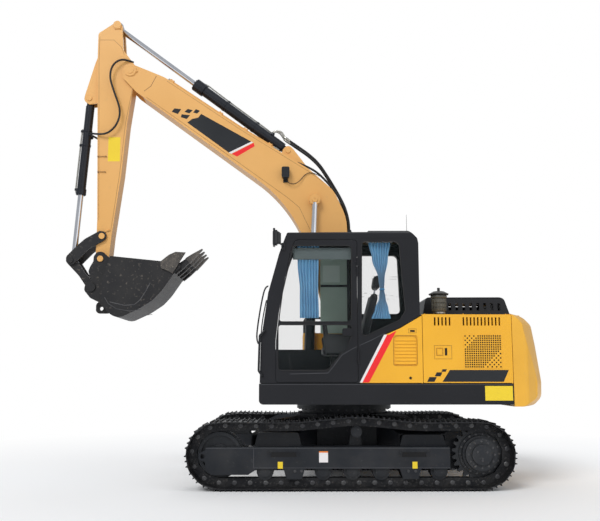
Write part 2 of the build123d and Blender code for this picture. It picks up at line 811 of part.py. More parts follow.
def counterweight():
    """The cast tail weight, thick-walled and open to the engine bay."""
    far = TAIL_RADIUS + 100
    corner = COUNTERWEIGHT_CORNER
    wide = HOUSE_HALF_WIDTH
    wall = COUNTERWEIGHT_WALL
    low = DECK_BOTTOM - 150
    high = BODY_TOP + 150
    shoulder = COUNTERWEIGHT_X + 153
    plan = [
        (COUNTERWEIGHT_X, -wide),
        (shoulder, -wide, 90),
        (shoulder + corner, -wide + corner, 120),
        (far, -wide + 345),
        (far, wide - 345),
        (shoulder + corner, wide - corner, 120),
        (shoulder, wide, 90),
        (COUNTERWEIGHT_X, wide),
    ]
    section = Plane.XZ * outline_face(tail_profile(0))
    body = revolve(section, Axis.Z, 360) & prism_z(plan, low, high)
    hollow_section = Plane.XZ * outline_face(tail_profile(wall))
    inner_plan = [
        (COUNTERWEIGHT_X - 10, -wide + wall),
        (shoulder - wall / 2, -wide + wall),
        (shoulder + corner - wall, -wide + corner + wall / 2),
        (far, -wide + 395),
        (far, wide - 395),
        (shoulder + corner - wall, wide - corner - wall / 2),
        (shoulder - wall / 2, wide - wall),
        (COUNTERWEIGHT_X - 10, wide - wall),
    ]
    hollow = revolve(hollow_section, Axis.Z, 360) & prism_z(inner_plan, low, high)
    seat_half = HOOD_HALF + 12
    seat = block(COUNTERWEIGHT_X - 5, HOOD_REAR_X + 27, -seat_half, seat_half, BODY_TOP - 10, high)
    return body - hollow - seat


# Doors and lids of the body

PANEL = 30.0
LOUVRE_DEPTH = 12.0
LOUVRE_COUNT = 8
GRILLE_COLUMNS = 12
GRILLE_ROWS = 11
GRILLE_HOLE = 9.0
PIVOT_RADIUS = 7.0
PIVOT_INSET = 8.0
PANEL_BOTTOM = DECK_TOP + 6.0
SHOULDER = ((105, PANEL_BOTTOM), (380, 1698), (562, 1776), (804, 1918))


def left_front_door():
    """The panel below the cab's shoulder, hinged at its rear edge."""
    rows = [
        (SHOULDER[0][0] + 4, SHOULDER[0][1], 6),
        (SHOULDER[1][0] + 2, SHOULDER[1][1] - 4, 60),
        (SHOULDER[2][0], SHOULDER[2][1] - 4, 60),
        (BAY_FRONT_X - 4, SHOULDER[3][1] - 4, 8),
        (BAY_FRONT_X - 4, PANEL_BOTTOM, 8),
    ]
    face = -HOUSE_HALF_WIDTH
    panel = prism_y(rows, face, face + PANEL)
    recess_rows = [(482, 1352, 30), (752, 1352, 30), (752, 1694, 30), (482, 1694, 30)]
    panel = panel - prism_y(recess_rows, face - 1, face + LOUVRE_DEPTH)
    step = (1672 - 1374) / LOUVRE_COUNT
    for i in range(LOUVRE_COUNT):
        z = 1374 + i * step
        blade = prism_x([
            (face + 1, z),
            (face + LOUVRE_DEPTH + 1, z + step - 14),
            (face + LOUVRE_DEPTH + 1, z - 4),
        ], 500, 734)
        panel = panel + blade
    return panel + pivot_foot(BAY_FRONT_X - 4 - PIVOT_INSET, face + PIVOT_INSET)


def pivot_foot(x, y):
    """The foot a side door turns on, just above the deck."""
    return disc_z((x, y), PIVOT_RADIUS, DECK_TOP + SEAT_GAP, PANEL_BOTTOM + 12)


def bay_door_rows():
    """Outline of an engine-bay door."""
    return [
        (BAY_FRONT_X + 2, PANEL_BOTTOM, 8),
        (BAY_FRONT_X + 2, BODY_TOP, 20),
        (COUNTERWEIGHT_X - 6, BODY_TOP - 8, 8),
        (COUNTERWEIGHT_X - 6, PANEL_BOTTOM, 8),
    ]


def slot_row(x_first, x_last, count, z_low, z_high, width):
    """Upright slots through a left bay door."""
    step = (x_last - x_first) / (count - 1)
    face = -HOUSE_HALF_WIDTH
    slots = []
    for i in range(count):
        x = x_first + step * i
        slots.append(block(x - width / 2, x + width / 2, face - 1, face + PANEL + 1, z_low, z_high))
    return slots


def bay_door_slots():
    """The two rows of upright slots at the top of a left bay door."""
    low = BODY_TOP - 128
    high = BODY_TOP - 35
    front = slot_row(BAY_FRONT_X + 140, BAY_FRONT_X + 306, 5, low, high, 18)
    rear = slot_row(COUNTERWEIGHT_X - 540, COUNTERWEIGHT_X - 138, 11, low, high, 18)
    return front + rear


def grille_holes(x_low, x_high, z_low, z_high):
    """Staggered round holes through the sheet of a left bay door."""
    face = -HOUSE_HALF_WIDTH
    step_x = (x_high - x_low) / GRILLE_COLUMNS
    step_z = (z_high - z_low) / GRILLE_ROWS
    holes = []
    for row in range(GRILLE_ROWS):
        shift = 0.25 if row % 2 else 0.75
        for column in range(GRILLE_COLUMNS):
            centre = (x_low + (column + shift) * step_x, z_low + (row + 0.5) * step_z)
            holes.append(disc_y(centre, GRILLE_HOLE, face - 1, face + PANEL))
    return holes


def left_rear_door():
    """The engine-bay door of the left side, with its slots and grille."""
    door = prism_y(bay_door_rows(), -HOUSE_HALF_WIDTH, -HOUSE_HALF_WIDTH + PANEL)
    face = -HOUSE_HALF_WIDTH
    x_low = COUNTERWEIGHT_X - 536
    x_high = COUNTERWEIGHT_X - 129
    recess = block(x_low, x_high, face + 8, face + PANEL + 1, 1329, 1703)
    holes = grille_holes(x_low + 6, x_high - 6, 1335, 1697)
    door = door.cut(recess, *bay_door_slots(), *holes)
    return door + pivot_foot(COUNTERWEIGHT_X - 6 - PIVOT_INSET, face + PIVOT_INSET)


def right_rear_door():
    """The pump-bay door of the right side."""
    door = prism_y(bay_door_rows(), HOUSE_HALF_WIDTH - PANEL, HOUSE_HALF_WIDTH)
    for cut in bay_door_slots():
        door = door - mirrored(cut)
    return door + pivot_foot(COUNTERWEIGHT_X - 6 - PIVOT_INSET, HOUSE_HALF_WIDTH - PIVOT_INSET)


KNUCKLE = 6.0
HOOD_HINGE = (HOOD_REAR_X + 9.0, BODY_TOP + 7.0)


def engine_hood():
    """The black louvred cover over the engine, hinged at the back."""
    low = BODY_TOP + SEAT_GAP
    side = [
        (HOOD_FRONT_X, low),
        (HOOD_FRONT_X + 55, HOOD_TOP - 4, 50),
        (HOOD_REAR_X - 75, HOOD_TOP, 70),
        (HOOD_REAR_X, low),
    ]
    hood = prism_y(side, -HOOD_HALF, HOOD_HALF)
    across = [
        (-HOOD_HALF, low),
        (-HOOD_HALF + 40, HOOD_TOP + 1, 55),
        (HOOD_HALF - 40, HOOD_TOP + 1, 55),
        (HOOD_HALF, low),
    ]
    hood = hood & prism_x(across, HOOD_FRONT_X - 5, HOOD_REAR_X + 5)
    inner_side = [
        (HOOD_FRONT_X + 12, low - 5),
        (HOOD_FRONT_X + 66, HOOD_TOP - 14, 40),
        (HOOD_REAR_X - 85, HOOD_TOP - 12, 60),
        (HOOD_REAR_X - 14, low - 5),
    ]
    hood = hood - prism_y(inner_side, -HOOD_HALF + 46, HOOD_HALF - 46)
    first = HOOD_FRONT_X + 170
    step = (HOOD_REAR_X - 137 - first) / (HOOD_LOUVRES - 1)
    for i in range(HOOD_LOUVRES):
        x = first + i * step
        hood = hood - block(x - 17, x + 17, -HOOD_HALF - 5, HOOD_HALF + 5, HOOD_TOP - 166, HOOD_TOP - 76)
    for y in (-HOOD_HALF + 150, HOOD_HALF - 220):
        knuckle = disc_y(HOOD_HINGE, KNUCKLE, y, y + 70)
        leaf = block(HOOD_REAR_X - 8, HOOD_HINGE[0], y, y + 70, HOOD_HINGE[1] - KNUCKLE, HOOD_HINGE[1])
        hood = hood + knuckle + leaf
    return hood


# Right side of the house

def tank(x_low, x_high, top, corner):
    """A tank of the right side, seated on the deck and open below."""
    y_low = CENTRE_HALF_WIDTH + 8
    y_high = HOUSE_HALF_WIDTH - 4
    low = DECK_TOP + SEAT_GAP
    plan = [(x_low, y_low, 20), (x_high, y_low, 20), (x_high, y_high, corner), (x_low, y_high, corner)]
    return prism_z(plan, low, top) - prism_z(inset(plan, TANK_WALL), low - 1, top - TANK_WALL)


def fuel_tank():
    """The fuel tank behind the tool box, with its filler cap."""
    cap = disc_z((-380, HOUSE_HALF_WIDTH - 185), 55, FUEL_TANK_TOP - 5, FUEL_TANK_TOP + 50)
    return tank(-505, 250, FUEL_TANK_TOP, 60) + cap


def hydraulic_tank():
    """The hydraulic tank between the fuel tank and the pump bay."""
    top = HYDRAULIC_TANK_TOP
    cover = disc_z((520, HOUSE_HALF_WIDTH - 445), 110, top - 5, top + 25)
    return tank(256, BAY_FRONT_X - 30, top, 30) + cover


TOOL_BOX_REAR_X = -512.0
LID_HINGE = (TOOL_BOX_REAR_X - 1.0, TOOL_BOX_TOP + 29.0)
LID_KNUCKLE = 5.0


def tool_box():
    """The tool box at the right front, open at the top under its lid."""
    front = DECK_FRONT_X + 11
    low = DECK_TOP + SEAT_GAP
    side = [
        (front, low),
        (front, TOOL_BOX_TOP - 70, 40),
        (front + 40, TOOL_BOX_TOP),
        (TOOL_BOX_REAR_X, TOOL_BOX_TOP),
        (TOOL_BOX_REAR_X, low),
    ]
    box = prism_y(side, CENTRE_HALF_WIDTH + 20, HOUSE_HALF_WIDTH - 4)
    space = block(front + 60, TOOL_BOX_REAR_X - 18, CENTRE_HALF_WIDTH + 40, HOUSE_HALF_WIDTH - 24,
                  low + 38, TOOL_BOX_TOP + 20)
    return box - space


def tool_box_lid():
    """The lid of the tool box."""
    low = TOOL_BOX_TOP + SEAT_GAP
    top = low + LID_SHEET
    front = DECK_FRONT_X + 39
    rear = TOOL_BOX_REAR_X - 6
    inner = CENTRE_HALF_WIDTH + 20
    outer = HOUSE_HALF_WIDTH - 4
    lid = prism_z([(front, inner, 20), (rear, inner, 10), (rear, outer, 10), (front, outer, 40)], low, top)
    for y in (inner + 120, outer - 190):
        knuckle = disc_y(LID_HINGE, LID_KNUCKLE, y, y + 70)
        leaf = block(rear - 30, LID_HINGE[0], y, y + 70, top - 2, LID_HINGE[1])
        lid = lid + knuckle + leaf
    return lid


def pre_cleaner():
    """The mushroom air pre-cleaner on the left top deck."""
    place = (BAY_FRONT_X + 253, -HOUSE_HALF_WIDTH + 345)
    low = BODY_TOP + SEAT_GAP
    base = disc_z(place, 62, low, low + 40)
    body = disc_z(place, 70, low + 35, low + 250)
    under = disc_z(place, 112, low + 248, low + 261)
    brim = Pos(*place, low + 275) * Cone(118, 60, 30)
    cap = disc_z(place, 16, low + 285, low + 332)
    return joined(base, body, brim, under, cap)


def exhaust_pipe():
    """The exhaust stack on the right top deck."""
    low = BODY_TOP + SEAT_GAP
    place = (COUNTERWEIGHT_X - 312, HOUSE_HALF_WIDTH - 345)
    flange = disc_z(place, 70, low, low + 14)
    stack = disc_z(place, 45, low + 10, low + 240)
    return flange + stack


def handrails():
    """Grab rails at the cab's front and on the right side."""
    rails = []
    side = -HOUSE_HALF_WIDTH - SEAT_GAP
    cab = tube(
        [(-975, side, 1245), (-975, side - 30, 1245), (-1015, side - 30, 1300), (-1005, side - 30, 1690),
         (-950, side - 30, 1745), (-950, side, 1745)],
        [15, 30, 30, 15], 12)
    rails.append(cab)
    # Rails over the tanks: x from, x to, inset from the side, foot's height.
    for x_low, x_high, inset_y, foot in (
        (-480, 225, 30, FUEL_TANK_TOP + SEAT_GAP),
        (300, 740, 45, HYDRAULIC_TANK_TOP + SEAT_GAP),
    ):
        y = HOUSE_HALF_WIDTH - inset_y
        top = BODY_TOP + 130
        points = [(x_low, y, foot), (x_low, y, top), (x_high, y, top), (x_high, y, foot)]
        rails.append(tube(points, [60, 60], 16))
    return rails


def mirrors():
    """The rear-view mirror on the cab's left front post."""
    y = -HOUSE_HALF_WIDTH - SEAT_GAP
    foot = block(-770, -725, y - 12, y, 2655, 2735)
    left_arm = tube([(-748, y - 4, 2700), (-748, y - 40, 2700), (-850, y - 40, 2760)], [20], 9)
    glass = [(-862, y - 100, 12), (-838, y - 100, 12), (-838, y + 10, 12), (-862, y + 10, 12)]
    return [left_arm + foot + prism_z(glass, 2690, 2890)]


# Cab. Side outline rows: x, z, corner radius.

CAB_FRONT = (
    (-1004, DECK_TOP + 4),
    (-994, 1628),
    (-974, 1764),
    (-915, 2171),
    (-794, 2613),
    (-728, CAB_ROOF_Z),
)


def cab_side_rows():
    """Outline of the cab's left side above the shoulder."""
    front = [(x, z, 0) for x, z in CAB_FRONT]
    return front + [
        (CAB_REAR_X - 12, CAB_ROOF_Z, 0),
        (CAB_REAR_X, CAB_ROOF_Z - 60, 0),
        (CAB_REAR_X, SHOULDER[3][1] - 4, 0),
        (SHOULDER[2][0] - 4, SHOULDER[2][1] + 3, 60),
        (SHOULDER[1][0] - 4, SHOULDER[1][1] + 3, 60),
        (SHOULDER[0][0] - 2, DECK_TOP + 4, 0),
    ]


def door_rows(gap):
    """Outline of the cab door, or with a gap its opening."""
    rows = [
        (-824, DECK_TOP + 14, 30),
        (-826, 1630, 300),
        (-792, 1930, 0),
        (-671, 2612, 0),
        (-612, 2772, 60),
        (DOOR_REAR_X, 2772, 40),
        (DOOR_REAR_X, DECK_TOP + 14, 30),
    ]
    return inset(rows, -gap) if gap else rows


DOOR_UPPER = ((-630, 2704, 40), (24, 2704, 40), (16, 1845, 30), (-818 + 24, 1845, 30), (-752, 2172, 0))
DOOR_LOWER = (
    (-800, 1808, 30),
    (20, 1808, 30),
    (18, 1683, 60),
    (-34, 1562, 60),
    (-252, 1307, 60),
    (-800, 1307, 40),
)
QUARTER = ((142, 2753, 40), (561, 2753, 60), (623, 1967, 50), (560, 1868, 50), (129, 1628 + 40, 40))


HINGE_RADIUS = 8.0
HINGE_AXIS = (DOOR_REAR_X + 3.0, -HOUSE_HALF_WIDTH - 11.0)
HINGE_HEIGHTS = (1420.0, 2520.0)
HINGE_LEAF = 24.0


def hinge_leaves(side, low, high):
    """Knuckles and leaves of the cab door's hinges: side -1 is the door's."""
    x, y = HINGE_AXIS
    end = x + side * HINGE_LEAF
    pieces = []
    for z in HINGE_HEIGHTS:
        knuckle = disc_z(HINGE_AXIS, HINGE_RADIUS, z + low, z + high)
        near = x + side * DOOR_GAP
        tongue = block(min(x, end), max(x, end), y, y + HINGE_RADIUS, z + low, z + high)
        root = block(min(near, end), max(near, end), y, -HOUSE_HALF_WIDTH + 1, z + low, z + high)
        pieces += [knuckle, tongue, root]
    return pieces


def cab_left_side():
    """The cab's left side with the door opening and the quarter window."""
    y_low = -HOUSE_HALF_WIDTH
    y_high = y_low + CAB_WALL
    wall = prism_y(cab_side_rows(), y_low, y_high)
    opening = prism_y(door_rows(DOOR_GAP), y_low - 1, y_high + 1)
    window = prism_y(QUARTER, y_low - 1, y_high + 1)
    return joined(wall - opening - window, *hinge_leaves(1, -45, -SEAT_GAP))


RIGHT_FRONT = ((-640, 2730, 50), (70, 2730, 50), (70, 1560, 50), (-905, 1560, 60), (-840, 2172, 0))
RIGHT_REAR = ((130, 2730, 50), (660, 2730, 60), (690, 2000, 50), (130, 2000, 50))


def cab_right_side():
    """The cab's right side, beside the boom, with its two windows."""
    rows = [(x, z, 0) for x, z in CAB_FRONT] + [
        (CAB_REAR_X - 12, CAB_ROOF_Z, 0),
        (CAB_REAR_X, CAB_ROOF_Z - 60, 0),
        (CAB_REAR_X, DECK_TOP + 4, 0),
    ]
    wall = prism_y(rows, CAB_RIGHT_Y - CAB_WALL, CAB_RIGHT_Y)
    for window in (RIGHT_FRONT, RIGHT_REAR):
        wall = wall - prism_y(window, CAB_RIGHT_Y - CAB_WALL - 1, CAB_RIGHT_Y + 1)
    return wall


CAB_IN_LOW = -HOUSE_HALF_WIDTH + CAB_WALL
CAB_IN_HIGH = CAB_RIGHT_Y - CAB_WALL


def front_strip(outer_depth, inner_depth):
    """Side outline of a sheet that follows the cab's sloping front."""
    outer = [(x + outer_depth, z, 0) for x, z in CAB_FRONT]
    inner = [(x + inner_depth, z, 0) for x, z in reversed(CAB_FRONT)]
    return outer + inner


FRONT_WINDOWS = ((1230, 1598), (1640, 2755))


def front_window(z_low, z_high):
    """The space of one front window, across the cab."""
    rows = [
        (CAB_IN_LOW + 45, z_low, 40),
        (CAB_IN_HIGH - 45, z_low, 40),
        (CAB_IN_HIGH - 45, z_high, 40),
        (CAB_IN_LOW + 45, z_high, 40),
    ]
    return prism_x(rows, -1100, -600)


def cab_front():
    """The frame of the windscreens between the two sides."""
    frame = prism_y(front_strip(0, 38), CAB_IN_LOW, CAB_IN_HIGH)
    for z_low, z_high in FRONT_WINDOWS:
        frame = frame - front_window(z_low, z_high)
    return frame


REAR_WINDOW = (
    (CAB_IN_LOW + 90, 2080, 60),
    (CAB_IN_HIGH - 90, 2080, 60),
    (CAB_IN_HIGH - 90, 2700, 60),
    (CAB_IN_LOW + 90, 2700, 60),
)


def cab_rear():
    """The cab's rear wall with its window."""
    rows = [
        (CAB_REAR_X - 52, 1915),
        (CAB_REAR_X, SHOULDER[3][1] - 4),
        (CAB_REAR_X, CAB_ROOF_Z - 60),
        (CAB_REAR_X - 12, CAB_ROOF_Z),
        (CAB_REAR_X - 52, CAB_ROOF_Z),
    ]
    wall = prism_y(rows, CAB_IN_LOW, CAB_IN_HIGH)
    return wall - prism_x(REAR_WINDOW, CAB_REAR_X - 60, CAB_REAR_X + 5)


def cab_roof():
    """The roof with its raised rear half and rounded edges."""
    rows = [
        (-728, CAB_ROOF_Z, 0),
        (-702, 2858, 26),
        (208, 2868, 0),
        (222, 2886, 0),
        (684, 2887, 40),
        (CAB_REAR_X - 12, CAB_ROOF_Z, 0),
    ]
    roof = prism_y(rows, -HOUSE_HALF_WIDTH, CAB_RIGHT_Y)
    across = [
        (-HOUSE_HALF_WIDTH, CAB_ROOF_Z - 5),
        (-HOUSE_HALF_WIDTH, 2850, 20),
        (-HOUSE_HALF_WIDTH + 60, 2895, 40),
        (CAB_RIGHT_Y - 60, 2895, 40),
        (CAB_RIGHT_Y, 2850, 20),
        (CAB_RIGHT_Y, CAB_ROOF_Z - 5),
    ]
    roof = roof & prism_x(across, -760, 800)
    inside = [(-640, CAB_ROOF_Z - 5), (-620, 2838), (690, 2846), (720, CAB_ROOF_Z - 5)]
    return roof - prism_y(inside, CAB_IN_LOW + 10, CAB_IN_HIGH - 10)


def cab_floor():
    """The floor, with the rising shelf behind the seat."""
    low = DECK_TOP + SEAT_GAP
    line = [
        (SHOULDER[0][0] - 10, low),
        (SHOULDER[1][0] - 4, SHOULDER[1][1] + 3),
        (SHOULDER[2][0] - 4, SHOULDER[2][1] + 3),
        (CAB_REAR_X - 52, 1885),
    ]
    rows = [
        (-965, low),
        (line[0][0], line[0][1]),
        (line[1][0], line[1][1]),
        (line[2][0], line[2][1]),
        (line[3][0], line[3][1]),
        (line[3][0], line[3][1] + 26),
        (line[2][0] - 12, line[2][1] + 26),
        (line[1][0] - 22, line[1][1] + 20),
        (line[0][0] - 26, low + 26),
        (-965, low + 26),
    ]
    return prism_y(rows, CAB_IN_LOW + SEAT_GAP, CAB_IN_HIGH - SEAT_GAP)


def cab_glass():
    """The fixed panes of the cab, each in its opening."""
    left = -HOUSE_HALF_WIDTH + 8
    right = CAB_RIGHT_Y - 14
    panes = [
        prism_y(QUARTER, left, left + GLASS),
        prism_y(RIGHT_FRONT, right, right + GLASS),
        prism_y(RIGHT_REAR, right, right + GLASS),
        prism_x(REAR_WINDOW, CAB_REAR_X - 20, CAB_REAR_X - 20 + GLASS),
    ]
    for z_low, z_high in FRONT_WINDOWS:
        sheet = prism_y(front_strip(8, 8 + GLASS), CAB_IN_LOW, CAB_IN_HIGH)
        panes.append(sheet & front_window(z_low, z_high))
    return panes


def cab_door():
    """The cab door with its two windows and hinge barrels."""
    y_low = -HOUSE_HALF_WIDTH
    y_high = y_low + CAB_WALL
    door = prism_y(door_rows(0), y_low, y_high)
    for window in (DOOR_UPPER, DOOR_LOWER):
        door = door - prism_y(window, y_low - 1, y_high + 1)
    handle = prism_y([(-55, 1560, 20), (60, 1560, 20), (60, 1640, 20), (-55, 1640, 20)], y_low - 22, y_low)
    return joined(door, Pos(-30, 0, 130) * handle, *hinge_leaves(-1, 0, 45))


def cab_door_glass():
    """The panes of the cab door."""
    left = -HOUSE_HALF_WIDTH + 8
    return [prism_y(window, left, left + GLASS) for window in (DOOR_UPPER, DOOR_LOWER)]


SEAT_Y = (CAB_IN_LOW + CAB_IN_HIGH) / 2
SEAT_HALF = (CAB_IN_HIGH - CAB_IN_LOW) / 2 - 190.5
CONSOLE_WIDTH = 80.0
CONSOLE_GAP = 10.0


def seat():
    """The seat's base and its cushions."""
    low = DECK_TOP + 26 + 2 * SEAT_GAP
    base = block(-200, 50, SEAT_Y - 180, SEAT_Y + 180, low, 1470)
    return [base]


def seat_cushions():
    """The seat cushion, the back and the headrest."""
    low = SEAT_Y - SEAT_HALF
    high = SEAT_Y + SEAT_HALF
    pan_z = 1470 + SEAT_GAP
    back_z = 1590 + SEAT_GAP
    pan = prism_y([(-320, pan_z, 20), (185, pan_z, 20), (185, 1590, 40), (-320, 1610, 50)], low, high)
    back = prism_y([(110, back_z, 10), (215, back_z, 20), (365, 2210, 50), (270, 2215, 50)], low, high)
    rest = prism_y(
        [(290, 2245, 20), (375, 2235, 20), (400, 2430, 40), (318, 2430, 40)], SEAT_Y - 140, SEAT_Y + 140)
    post = prism_y([(318, 2200), (342, 2200), (352, 2250), (328, 2250)], SEAT_Y - 60, SEAT_Y + 60)
    return [pan, joined(back, post, rest)]


def consoles():
    """The armrest consoles with levers, and the front pedals."""
    low = DECK_TOP + 26 + 2 * SEAT_GAP
    pieces = []
    for y in (SEAT_Y - SEAT_HALF - CONSOLE_GAP - CONSOLE_WIDTH, SEAT_Y + SEAT_HALF + CONSOLE_GAP):
        body = prism_y(
            [(-260, 1500, 30), (200, 1500, 20), (200, 1700, 40), (-300, 1720, 40)], y, y + CONSOLE_WIDTH)
        foot = block(-120, 60, y + 10, y + CONSOLE_WIDTH - 10, low, 1502)
        lever = bar((-250, y + 40, 1700), (-270, y + 40, 1860), 16)
        pieces.append(joined(body, foot, lever))
    for y in (SEAT_Y - 80, SEAT_Y + 80):
        pedal = prism_y([(-655, low), (-625, low), (-675, low + 330), (-700, low + 320)], y - 14, y + 14)
        pieces.append(pedal)
    return pieces


def curtains():
    """The gathered curtains beside the door and at the quarter window."""
    y_low = CAB_IN_LOW + SEAT_GAP
    y_high = y_low + 50
    top = CAB_ROOF_Z - SEAT_GAP
    door = prism_y([(-600, top), (-330, top), (-350, 1880, 10), (-560, 1880, 10)], y_low, y_high)
    quarter = prism_y(
        [(220, top), (480, top), (400, 2220, 40), (470, 1880, 10), (240, 1880, 10), (340, 2220, 40)],
        y_low, y_high)
    return [door, quarter]


# Boom. The corners of its top edge, from the nose to the knee.

BOOM_BACK_X = 53.5
BOOM_TOP = ((-2318.0, 5112.0), (-1325.0, 4437.0), (-430.0, 3880.0))


def boom_rows():
    """Side outline of the boom: x, z, corner radius."""
    ax, az = ARM_PIVOT
    fx, fz = BOOM_FOOT
    return [
        (ax - 106, az + 10, 95),
        (ax - 40, az + 112, 95),
        (*BOOM_TOP[0], 500),
        (*BOOM_TOP[1], 0),
        (*BOOM_TOP[2], 400),
        (-118, 3600, 350),
        (42, 3253, 600),
        (55, 3000, 0),
        (fx + 120, fz + 100, 60),
        (fx + 105, fz - 60, 60),
        (fx, fz - 118, 70),
        (fx - 105, fz - 60, 60),
        (fx - 150, fz + 160, 200),
        (-588, 3368, 1800),
        (-2690, 4916, 200),
        (ax - 92, az - 104, 110),
    ]


def boom():
    """The hollow boom with its foot boss and the fork at its nose."""
    rows = boom_rows()
    half = BOOM_HALF_WIDTH
    body = prism_y(rows, -half, half)
    hollow = prism_y(inset(rows, BOOM_EDGE_PLATE), -half + BOOM_SIDE_PLATE, half - BOOM_SIDE_PLATE)
    hollow = hollow - disc_y(ARM_PIVOT, BOOM_FORK_REACH + BOOM_END_WALL, -half, half)
    hollow = hollow - disc_y(BOOM_FOOT, 150, -half, half)
    slot_half = half - FORK_CHEEK
    slot = disc_y(ARM_PIVOT, BOOM_FORK_REACH, -slot_half, slot_half)
    body = body - hollow - slot
    body = body + disc_y(ARM_PIVOT, BOOM_PIN, -half - 18, half + 18)
    for side in (-1, 1):
        body = body + disc_y(ARM_PIVOT, 78, side * (half - 5), side * (half + 12))
        body = body + disc_y(BOOM_CYL_EYE, 80, side * (half - 5), side * (half + 10))
    bracket = [
        (ARM_CYL_FOOT[0] - 95, ARM_CYL_FOOT[1] - 110),
        (ARM_CYL_FOOT[0] - 70, ARM_CYL_FOOT[1] + 10, 50),
        (ARM_CYL_FOOT[0], ARM_CYL_FOOT[1] + 88, 60),
        (ARM_CYL_FOOT[0] + 75, ARM_CYL_FOOT[1] + 10, 50),
        (-431, 3897, 30),
        (-470, 3880),
    ]
    for y_low, y_high in ((-82, -58), (58, 82)):
        body = body + prism_y(bracket, y_low, y_high)
    body = body + disc_y(ARM_CYL_FOOT, CYL_PIN, -95, 95)
    return body - disc_y(BOOM_FOOT, BOOM_PIN + PIN_PLAY, -half - 5, half + 5)


PIPE_RADIUS = 12.0
HOSE_RADIUS = 14.0
HOSE_Y = 60.0
# The arm cylinder's hoses over the boom's knee: x, z.
HOSE_ROUTE = (
    (-735.0, 4322.0),
    (-602.0, 4226.0),
    (-440.0, 4114.0),
    (-302.0, 3983.0),
    (-200.0, 3826.0),
    (-113.0, 3681.0),
    (-30.0, 3535.0),
    (40.0, 3385.0),
    (78.0, 3225.0),
    (84.0, 3060.0),
    (78.0, 2900.0),
)


def hose_radii(points):
    """The largest arcs that the runs of a hose leave room for."""
    radii = []
    for before, point, after in zip(points, points[1:], points[2:]):
        run_in = Vector(*point) - Vector(*before)
        run_out = Vector(*after) - Vector(*point)
        half_turn = radians(run_in.get_angle(run_out)) / 2
        shorter = min(run_in.length, run_out.length)
        radii.append(0.45 * shorter * cos(half_turn) / sin(half_turn))
    return radii


def boom_hose(y):
    """One hose along the boom's back, with its clamp and end fitting."""
    points = [(x, y, z) for x, z in HOSE_ROUTE]
    hose = tube(points, hose_radii(points), HOSE_RADIUS)
    start, following = HOSE_ROUTE[:2]
    ferrule_end = along(start, following, 70)
    ferrule = bar((start[0], y, start[1]), (ferrule_end[0], y, ferrule_end[1]), HOSE_RADIUS + 4)
    x, z = HOSE_ROUTE[-2]
    clamp = block(BOOM_BACK_X + SEAT_GAP, x + HOSE_RADIUS + 8, y - 24, y + 24, z - 30, z + 30)
    return joined(hose, ferrule, clamp)


def boom_pipes():
    """The steel pipes along the top of the boom, with their clamps."""
    nose, middle, knee = BOOM_TOP
    height = PIPE_RADIUS + 6
    start = along(nose, middle, 35, height)
    bend = along(nose, middle, apart(nose, middle), height)
    end = along(middle, knee, 500, height)
    clamp_half = 30
    pieces = []
    for side in (-1, 1):
        y = side * (BOOM_HALF_WIDTH - 60)
        points = [(start[0], y, start[1]), (bend[0], y, bend[1]), (end[0], y, end[1])]
        pipe = tube(points, [300], PIPE_RADIUS)
        # Clamps: the line each is on, and its place along that line.
        clamps = ((nose, middle, 90), (nose, middle, 870), (middle, knee, 60), (middle, knee, 440))
        for a, b, place in clamps:
            shape = [
                along(a, b, place - clamp_half, SEAT_GAP),
                along(a, b, place + clamp_half, SEAT_GAP),
                along(a, b, place + clamp_half, height + PIPE_RADIUS + 7),
                along(a, b, place - clamp_half, height + PIPE_RADIUS + 7),
            ]
            pipe = pipe + prism_y(shape, y - PIPE_RADIUS - 12, y + PIPE_RADIUS + 12)
        pieces.append(pipe)
    for y in (-HOSE_Y, HOSE_Y):
        pieces.append(boom_hose(y))
    return pieces


LAMP_PLACE = (-735.0, 3813.0)


def boom_lamp():
    """The work lamp on the boom's left side."""
    y = -BOOM_HALF_WIDTH - SEAT_GAP
    x, z = LAMP_PLACE
    bracket = block(x - 30, x + 30, y - 14, y, z - 110, z - 20)
    back = block(x - 24, x + 24, y - 60, y - 10, z - 84, z - 60)
    body = prism_y([(x - 50, z - 62, 22), (x + 50, z - 62, 22), (x + 50, z + 78, 22), (x - 50, z + 78, 22)],
                   y - 96, y - 22)
    return joined(bracket, back, body)


# Cylinders

def cylinder_barrel(
        foot, eye, gland, collar_length, collar_radius, barrel_radius, eye_radius, half_width, y):
    """A cylinder barrel from its foot eye to its gland."""
    start = along(foot, eye, eye_radius + 25)
    end = along(foot, eye, gland)
    neck = along(foot, eye, eye_radius * 0.6)
    collar = along(foot, eye, gland - collar_length)
    body = bar((start[0], y, start[1]), (end[0], y, end[1]), barrel_radius)
    root = bar((neck[0], y, neck[1]), (start[0], y, start[1]), half_width - 3)
    ring = bar((collar[0], y, collar[1]), (end[0], y, end[1]), collar_radius)
    lug = disc_y(foot, eye_radius, y - half_width, y + half_width)
    barrel = joined(lug, root, body, ring)
    return barrel - disc_y(foot, CYL_PIN + PIN_PLAY, y - half_width - 1, y + half_width + 1)


def rod_bore(foot, eye, gland, length, radius, y):
    """The hole of the rod in its barrel."""
    start = along(foot, eye, gland - length)
    end = along(foot, eye, gland + 5)
    return bar((start[0], y, start[1]), (end[0], y, end[1]), radius)


def cylinder_rod(foot, eye, start, rod_radius, eye_radius, half_width, y):
    """A rod from inside its barrel to its eye, which may drift from its pin."""
    inner = along(foot, eye, start)
    end = along(foot, eye, apart(foot, eye) - eye_radius * 0.6)
    rod = bar((inner[0], y, inner[1]), (end[0], y, end[1]), rod_radius)
    lug = disc_y(eye, eye_radius, y - half_width, y + half_width)
    return rod + lug


